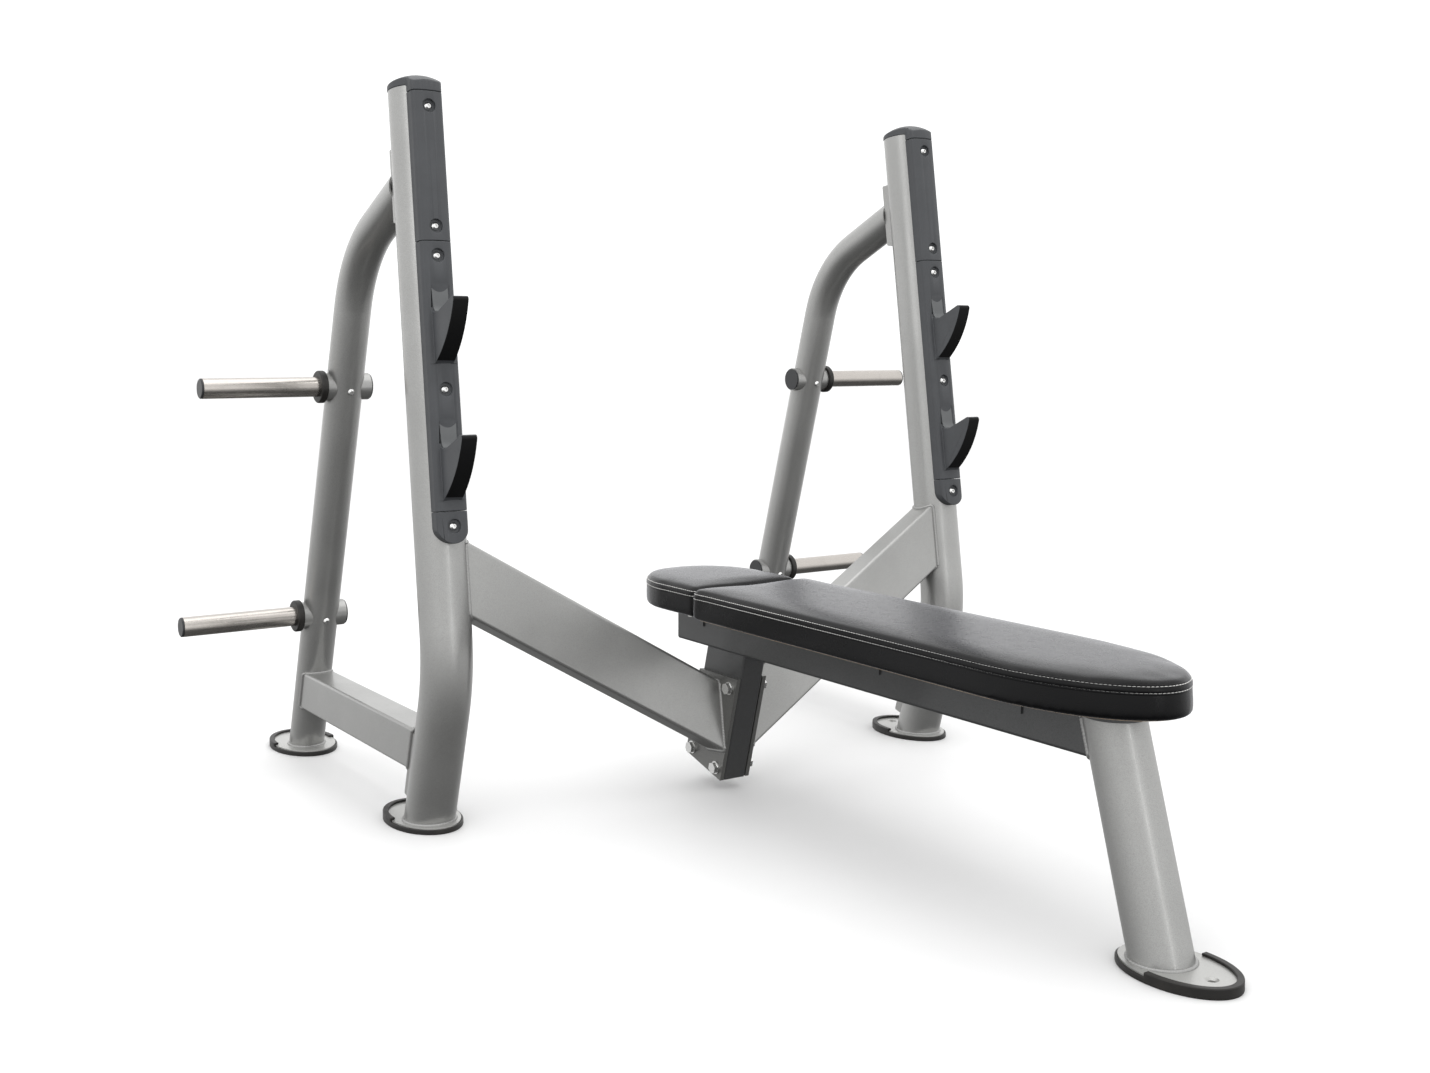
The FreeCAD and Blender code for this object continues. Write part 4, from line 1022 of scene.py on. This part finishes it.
@dataclass
class Pad:
    """An upholstered pad on a plywood board: a blown-up vinyl skin, a sewn band round its side, stitches."""

    name: str
    node: str
    outline: Union[MainOutline, HeadOutline]
    finishes: Finishes
    base_z: float = 0.3416
    top_z: float = 0.397
    voxel: float = 0.0055
    cap: float = 0.006
    ease_rounds: int = 24
    run_frames: int = 20
    held_depth: float = 0.003
    rest_sink: float = 0.0003
    pitch: float = 0.0062
    lines: Tuple[float, float] = (0.3893, 0.3808)

    def blank(self) -> Piece:
        """The slack form: the outline drawn in by a table of (inset, height) steps, top and bottom closed.

        Returns:
            The closed form.
        """
        loop = resampled(self.outline.points(), 360, True)
        inward = inward_normals(loop)
        h = (self.top_z - self.base_z) / MM
        steps = np.array([(8.5, 0.0), (4.4, 0.9), (2.0, 3.2), (0.9, 8.0), (0.6, 0.25 * h), (0.4, 0.5 * h),
                          (0.8, h - 12), (1.6, h - 7), (3.4, h - 3.4), (7, h - 1.2), (14, h)]) * MM
        rings = np.stack([np.column_stack([loop + i * inward, np.full(len(loop), self.base_z + z)])
                          for i, z in steps])
        return lofted(self.name, rings, self.finishes.vinyl, True, 40.0)

    def blow_up(self, pad: Piece) -> None:
        """Swells the blank with a short cloth run, its underside held, and limits how far each point goes.

        The move m of each point becomes m times cap over (cap plus m's length), so it never passes the cap.

        Args:
            pad: the blank; its mesh is replaced.
        """
        remesh = pad.modifiers.new("even_mesh", "REMESH")
        remesh.mode = "VOXEL"
        remesh.voxel_size = self.voxel
        apply_modifiers(pad)
        mesh = pad.data
        start = vertices_of(mesh)
        held = pad.vertex_groups.new(name="held")
        low = np.flatnonzero(start[:, 2] < self.base_z + self.held_depth)
        held.add([int(i) for i in low], 1.0, "REPLACE")
        cloth = pad.modifiers.new("swell", "CLOTH")
        s = cloth.settings
        s.quality = 5
        s.mass = 0.3
        s.vertex_group_mass = "held"
        s.use_pressure = True
        s.uniform_pressure_force = 4.0
        s.effector_weights.gravity = 0.0
        s.tension_stiffness = s.compression_stiffness = 15.0
        s.bending_stiffness = 6.0
        cloth.point_cache.frame_end = self.run_frames
        for number in range(1, self.run_frames + 1):
            bpy.context.scene.frame_set(number)
        apply_modifiers(pad)
        bpy.context.scene.frame_set(1)
        mesh = pad.data
        move = vertices_of(mesh) - start
        move *= self.cap / (self.cap + np.linalg.norm(move, axis=1, keepdims=True))
        put_vertices(mesh, start + self.eased(mesh, move))
        smooth = pad.modifiers.new("fine", "SUBSURF")
        smooth.levels = smooth.render_levels = 1
        apply_modifiers(pad)
        mesh = pad.data
        mesh.polygons.foreach_set("use_smooth", np.ones(len(mesh.polygons), bool))
        points = vertices_of(mesh)
        points[:, 2] = np.maximum(points[:, 2], self.base_z - self.rest_sink)
        put_vertices(mesh, points)
        LOG.info("%s: %d faces", pad.name, len(mesh.polygons))

    def eased(self, mesh: bpy.types.Mesh, move: Array) -> Array:
        """Evens out the moves, so that a taut cover keeps no small creases.

        Each move becomes half itself and half its neighbours' mean, over and over.

        Args:
            mesh: the skin.
            move: one move for each of its points.

        Returns:
            The evened moves.
        """
        ends = np.empty(len(mesh.edges) * 2, int)
        mesh.edges.foreach_get("vertices", ends)
        a, b = ends.reshape(-1, 2).T
        count = np.maximum(np.bincount(ends, minlength=len(move)), 1)[:, None]
        for _ in range(self.ease_rounds):
            near = np.zeros_like(move)
            np.add.at(near, a, move[b])
            np.add.at(near, b, move[a])
            move = 0.5 * move + 0.5 * near / count
        return move

    def side_line(self, tree: BVHTree, heights: Array, count: int) -> Tuple[Array, Array]:
        """Points of the swollen side at some heights, found by level rays from outside, and the way out.

        Args:
            tree: the pad's faces.
            heights: one or more heights.
            count: stations round the pad.

        Returns:
            heights by stations by 3 points, and stations by 3 outward directions.
        """
        loop = resampled(self.outline.points(), count, True)
        out = -inward_normals(loop)
        out3 = np.column_stack([out, np.zeros(count)])
        rows = []
        for z in heights:
            row = np.column_stack([loop, np.full(count, z)])
            far = row + out3 * RAY_START
            for k in range(count):
                hit = tree.ray_cast(Vector(far[k]), Vector(-out3[k]), RAY_REACH)[0]
                if hit is not None:
                    row[k] = hit
            rows.append(row)
        return np.stack(rows), out3

    def sew(self, pad: Piece) -> None:
        """Adds the sewn band and both lines of stitches.

        The band's profile down the side is a table of (height, stand-off in mm): tucked at its edges, sunk
        under the two stitch lines and full in the welt between them.

        Args:
            pad: the swollen pad.
        """
        tree = BVHTree.FromObject(pad, bpy.context.evaluated_depsgraph_get())
        upper, lower = self.lines
        shape = np.array([(upper + 0.0040, -0.9), (upper + 0.0026, 0.35), (upper + 0.0011, 0.45),
                          (upper, 0.05), (upper - 0.0014, 0.8), (0.5 * (upper + lower), 1.35),
                          (lower + 0.0014, 0.8), (lower, 0.05), (lower - 0.0011, 0.45),
                          (lower - 0.0026, 0.35), (lower - 0.0042, -0.9)])
        upper_row, lower_row = 3, 7
        count = 520
        rows, out = self.side_line(tree, shape[:, 0], count)
        rows = rows + (shape[:, 1] * MM)[:, None, None] * out[None]
        faces = grid_faces(len(shape), count, True, True)
        band = mesh_piece(self.name + "_sewn_band", rows.reshape(-1, 3), faces, self.finishes.vinyl, 70.0)
        LOG.info("%s", band.name)
        self.stitches(rows[upper_row], out, "upper", 0.5)
        self.stitches(rows[lower_row], out, "lower", 0.0)

    def stitches(self, line: Array, out: Array, word: str, tip: float) -> None:
        """A row of separate stitches: short six-sided capsules that dip into the cover at both ends.

        Args:
            line: the seam's points.
            out: the way out of the cover at each.
            word: the row's name.
            tip: how far the way out leans up.
        """
        run = np.linalg.norm(np.roll(line, -1, 0) - line, axis=1).sum()
        count = int(run / self.pitch)
        fine = resampled(line, count, True)
        away = unit(resampled(out, count, True) + np.array([0.0, 0.0, tip]))
        t = unit(np.roll(fine, -1, 0) - np.roll(fine, 1, 0))
        side = np.cross(t, away)
        share = np.array([-0.42, -0.30, 0.0, 0.30, 0.42])
        wide = np.array([0.18, 0.56, 0.74, 0.56, 0.18]) * MM
        lift = np.array([-0.22, 0.44, 0.66, 0.44, -0.22]) * MM
        sides = 6
        flatness = 0.75
        th = np.linspace(0, 2 * math.pi, sides, endpoint=False)
        cos, sin = np.cos(th)[None, None, :, None], np.sin(th)[None, None, :, None]
        along = share[None, :, None] * self.pitch * t[:, None]
        core = fine[:, None] + along + lift[None, :, None] * away[:, None]
        round_it = cos * side[:, None, None] + sin * away[:, None, None] * flatness
        rings = core[:, :, None] + wide[None, :, None, None] * round_it
        size = len(share) * sides
        ends = [list(range(sides))[::-1], list(range(size - sides, size))]
        one = [list(f) for f in grid_faces(len(share), sides, True)] + ends
        faces = [[i + size * n for i in f] for n in range(count) for f in one]
        piece = mesh_piece("%s_%s_stitches" % (self.name, word), rings.reshape(-1, 3), faces,
                           self.finishes.thread, 80.0)
        LOG.info("%s: %d stitches", piece.name, count)

    def build(self) -> None:
        """Makes the pad in order: blank, swell, sew."""
        pad = self.blank()
        self.blow_up(pad)
        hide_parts(self.node)
        self.sew(pad)


def inward_normals(loop: Array) -> Array:
    """Unit directions into a closed flat loop: the line's direction turned a quarter, towards its inside.

    Args:
        loop: N by 2 points.

    Returns:
        N by 2 directions.
    """
    t = unit(np.roll(loop, -1, 0) - np.roll(loop, 1, 0))
    n = np.stack([-t[:, 1], t[:, 0]], 1)
    area = 0.5 * np.sum(loop[:, 0] * np.roll(loop[:, 1], -1) - np.roll(loop[:, 0], -1) * loop[:, 1])
    return n if area > 0 else -n


def vertices_of(mesh: bpy.types.Mesh) -> Array:
    """A mesh's points as an array."""
    flat = np.empty(len(mesh.vertices) * 3)
    mesh.vertices.foreach_get("co", flat)
    return flat.reshape(-1, 3)


def put_vertices(mesh: bpy.types.Mesh, points: Array) -> None:
    """Writes a mesh's points back."""
    mesh.vertices.foreach_set("co", np.ascontiguousarray(points, float).ravel())
    mesh.update()


def apply_modifiers(piece: Piece) -> None:
    """Swaps the piece's mesh for its evaluated one and drops the modifiers.

    Args:
        piece: the piece with live modifiers.
    """
    graph = bpy.context.evaluated_depsgraph_get()
    graph.update()
    done = bpy.data.meshes.new_from_object(piece.evaluated_get(graph))
    piece.modifiers.clear()
    piece.data = done


# --------------------------------------------------------------------------- floor, light, camera
@dataclass(frozen=True)
class Lamp:
    """A soft rectangular light: where it stands, what it looks at, its two sides in metres and its power."""

    name: str
    at: Triple
    to: Triple
    size: Tuple[float, float]
    watts: float

    def hang(self) -> None:
        """Adds the light, turned to what it looks at."""
        data = bpy.data.lights.new(self.name, "AREA")
        data.shape = "RECTANGLE"
        data.size, data.size_y = self.size
        data.energy = self.watts
        lamp = bpy.data.objects.new(self.name, data)
        lamp.location = self.at
        lamp.rotation_euler = (Vector(self.to) - Vector(self.at)).to_track_quat("-Z", "Y").to_euler()
        bpy.context.scene.collection.objects.link(lamp)


@dataclass
class Studio:
    """Pale level floor, soft light all round and the camera."""

    finishes: Finishes
    eye: Triple = (-1.68904, -2.26521, 0.85148)
    azimuth_deg: float = 34.1904
    pitch_deg: float = -2.1079
    roll_deg: float = 0.1574
    sensor_mm: float = 36.0
    lens_mm: float = 39.596727
    shift: Tuple[float, float] = (0.0024462, -0.0986154)
    far: float = 60.0
    floor_radius: float = 34.0
    above: float = 1.22
    below: float = 0.12
    bright_from: float = 0.01
    dim_from: float = -0.56
    lamps: Tuple[Lamp, ...] = (
        Lamp("top_light", (0.0, 0.2, 3.6), (0.0, 0.1, 0.0), (4.0, 4.0), 52.0),
        Lamp("key_light", (-3.6, -1.6, 2.6), (0.0, 0.0, 0.6), (1.8, 2.2), 12.0),
        Lamp("strip_light", (-0.3, -4.2, 1.1), (0.0, 0.0, 0.7), (0.06, 2.4), 7.0))

    def floor(self) -> None:
        """A level round sheet: rings of points whose radius grows as the square of the ring's number."""
        r = np.linspace(0.05, 1.0, 14) ** 2 * self.floor_radius
        t = np.linspace(0, 2 * math.pi, 72, endpoint=False)
        flat = np.zeros((len(r), len(t)))
        pts = np.stack([r[:, None] * np.cos(t), r[:, None] * np.sin(t), flat], -1)
        faces = grid_faces(len(r), len(t), True, True).tolist() + [list(range(len(t)))]
        mesh = bpy.data.meshes.new("studio_floor")
        mesh.from_pydata(pts.reshape(-1, 3).tolist(), [], faces)
        mesh.materials.append(self.finishes.floor)
        sheet = bpy.data.objects.new("studio_floor", mesh)
        sheet.visible_glossy = False
        sheet.visible_diffuse = False
        bpy.context.scene.collection.objects.link(sheet)

    def air(self) -> None:
        """The studio's air: even and bright from the horizon up, falling off evenly to dim below it."""
        world = bpy.data.worlds.new("studio_air")
        world.use_nodes = True
        tree = world.node_tree
        way = tree.nodes.new("ShaderNodeTexCoord").outputs["Generated"]
        parts = tree.nodes.new("ShaderNodeSeparateXYZ")
        fall = tree.nodes.new("ShaderNodeMapRange")
        ends = {"From Min": self.dim_from, "From Max": self.bright_from,
                "To Min": self.below, "To Max": self.above}
        for key, number in ends.items():
            fall.inputs[key].default_value = number
        tree.links.new(way, parts.inputs["Vector"])
        tree.links.new(parts.outputs["Z"], fall.inputs["Value"])
        back = tree.nodes["Background"]
        back.inputs["Color"].default_value = (1.0, 1.0, 1.0, 1.0)
        tree.links.new(fall.outputs["Result"], back.inputs["Strength"])
        bpy.context.scene.world = world

    def light(self) -> None:
        """The air, then a wide top light, a weak key from the front left and a thin upright strip."""
        self.air()
        bpy.context.scene.view_settings.view_transform = "Standard"
        for lamp in self.lamps:
            lamp.hang()

    def camera(self) -> None:
        """The camera: looking direction from azimuth and pitch, then roll, with a small lens shift."""
        a, e, r = (math.radians(d) for d in (self.azimuth_deg, self.pitch_deg, self.roll_deg))
        look = np.array([math.sin(a) * math.cos(e), math.cos(a) * math.cos(e), math.sin(e)])
        right = np.array([math.cos(a), -math.sin(a), 0.0])
        up = np.cross(right, look)
        across = math.cos(r) * right + math.sin(r) * up
        upward = -math.sin(r) * right + math.cos(r) * up
        data = bpy.data.cameras.new("view")
        data.sensor_width = self.sensor_mm
        data.lens = self.lens_mm
        data.shift_x, data.shift_y = self.shift
        data.clip_end = self.far
        eye = bpy.data.objects.new("view", data)
        m = np.eye(4)
        m[:3, 0], m[:3, 1], m[:3, 2], m[:3, 3] = across, upward, -look, self.eye
        eye.matrix_world = Matrix(m.tolist())
        bpy.context.scene.collection.objects.link(eye)
        bpy.context.scene.camera = eye

    def build(self) -> None:
        """Sets the stage."""
        self.camera()
        self.floor()
        self.light()


def main() -> None:
    finishes = Finishes()
    Studio(finishes).build()
    steel = Steelwork(finishes)
    steel.dress()
    steel.weld()
    Fittings(finishes).dress()
    mouldings = Mouldings(finishes)
    mouldings.dress()
    mouldings.boots()
    Pad("main_pad_cover", "main_pad", MainOutline(), finishes).build()
    Pad("head_pad_cover", "head_pad", HeadOutline(), finishes).build()


if __name__ == "__main__":
    main()
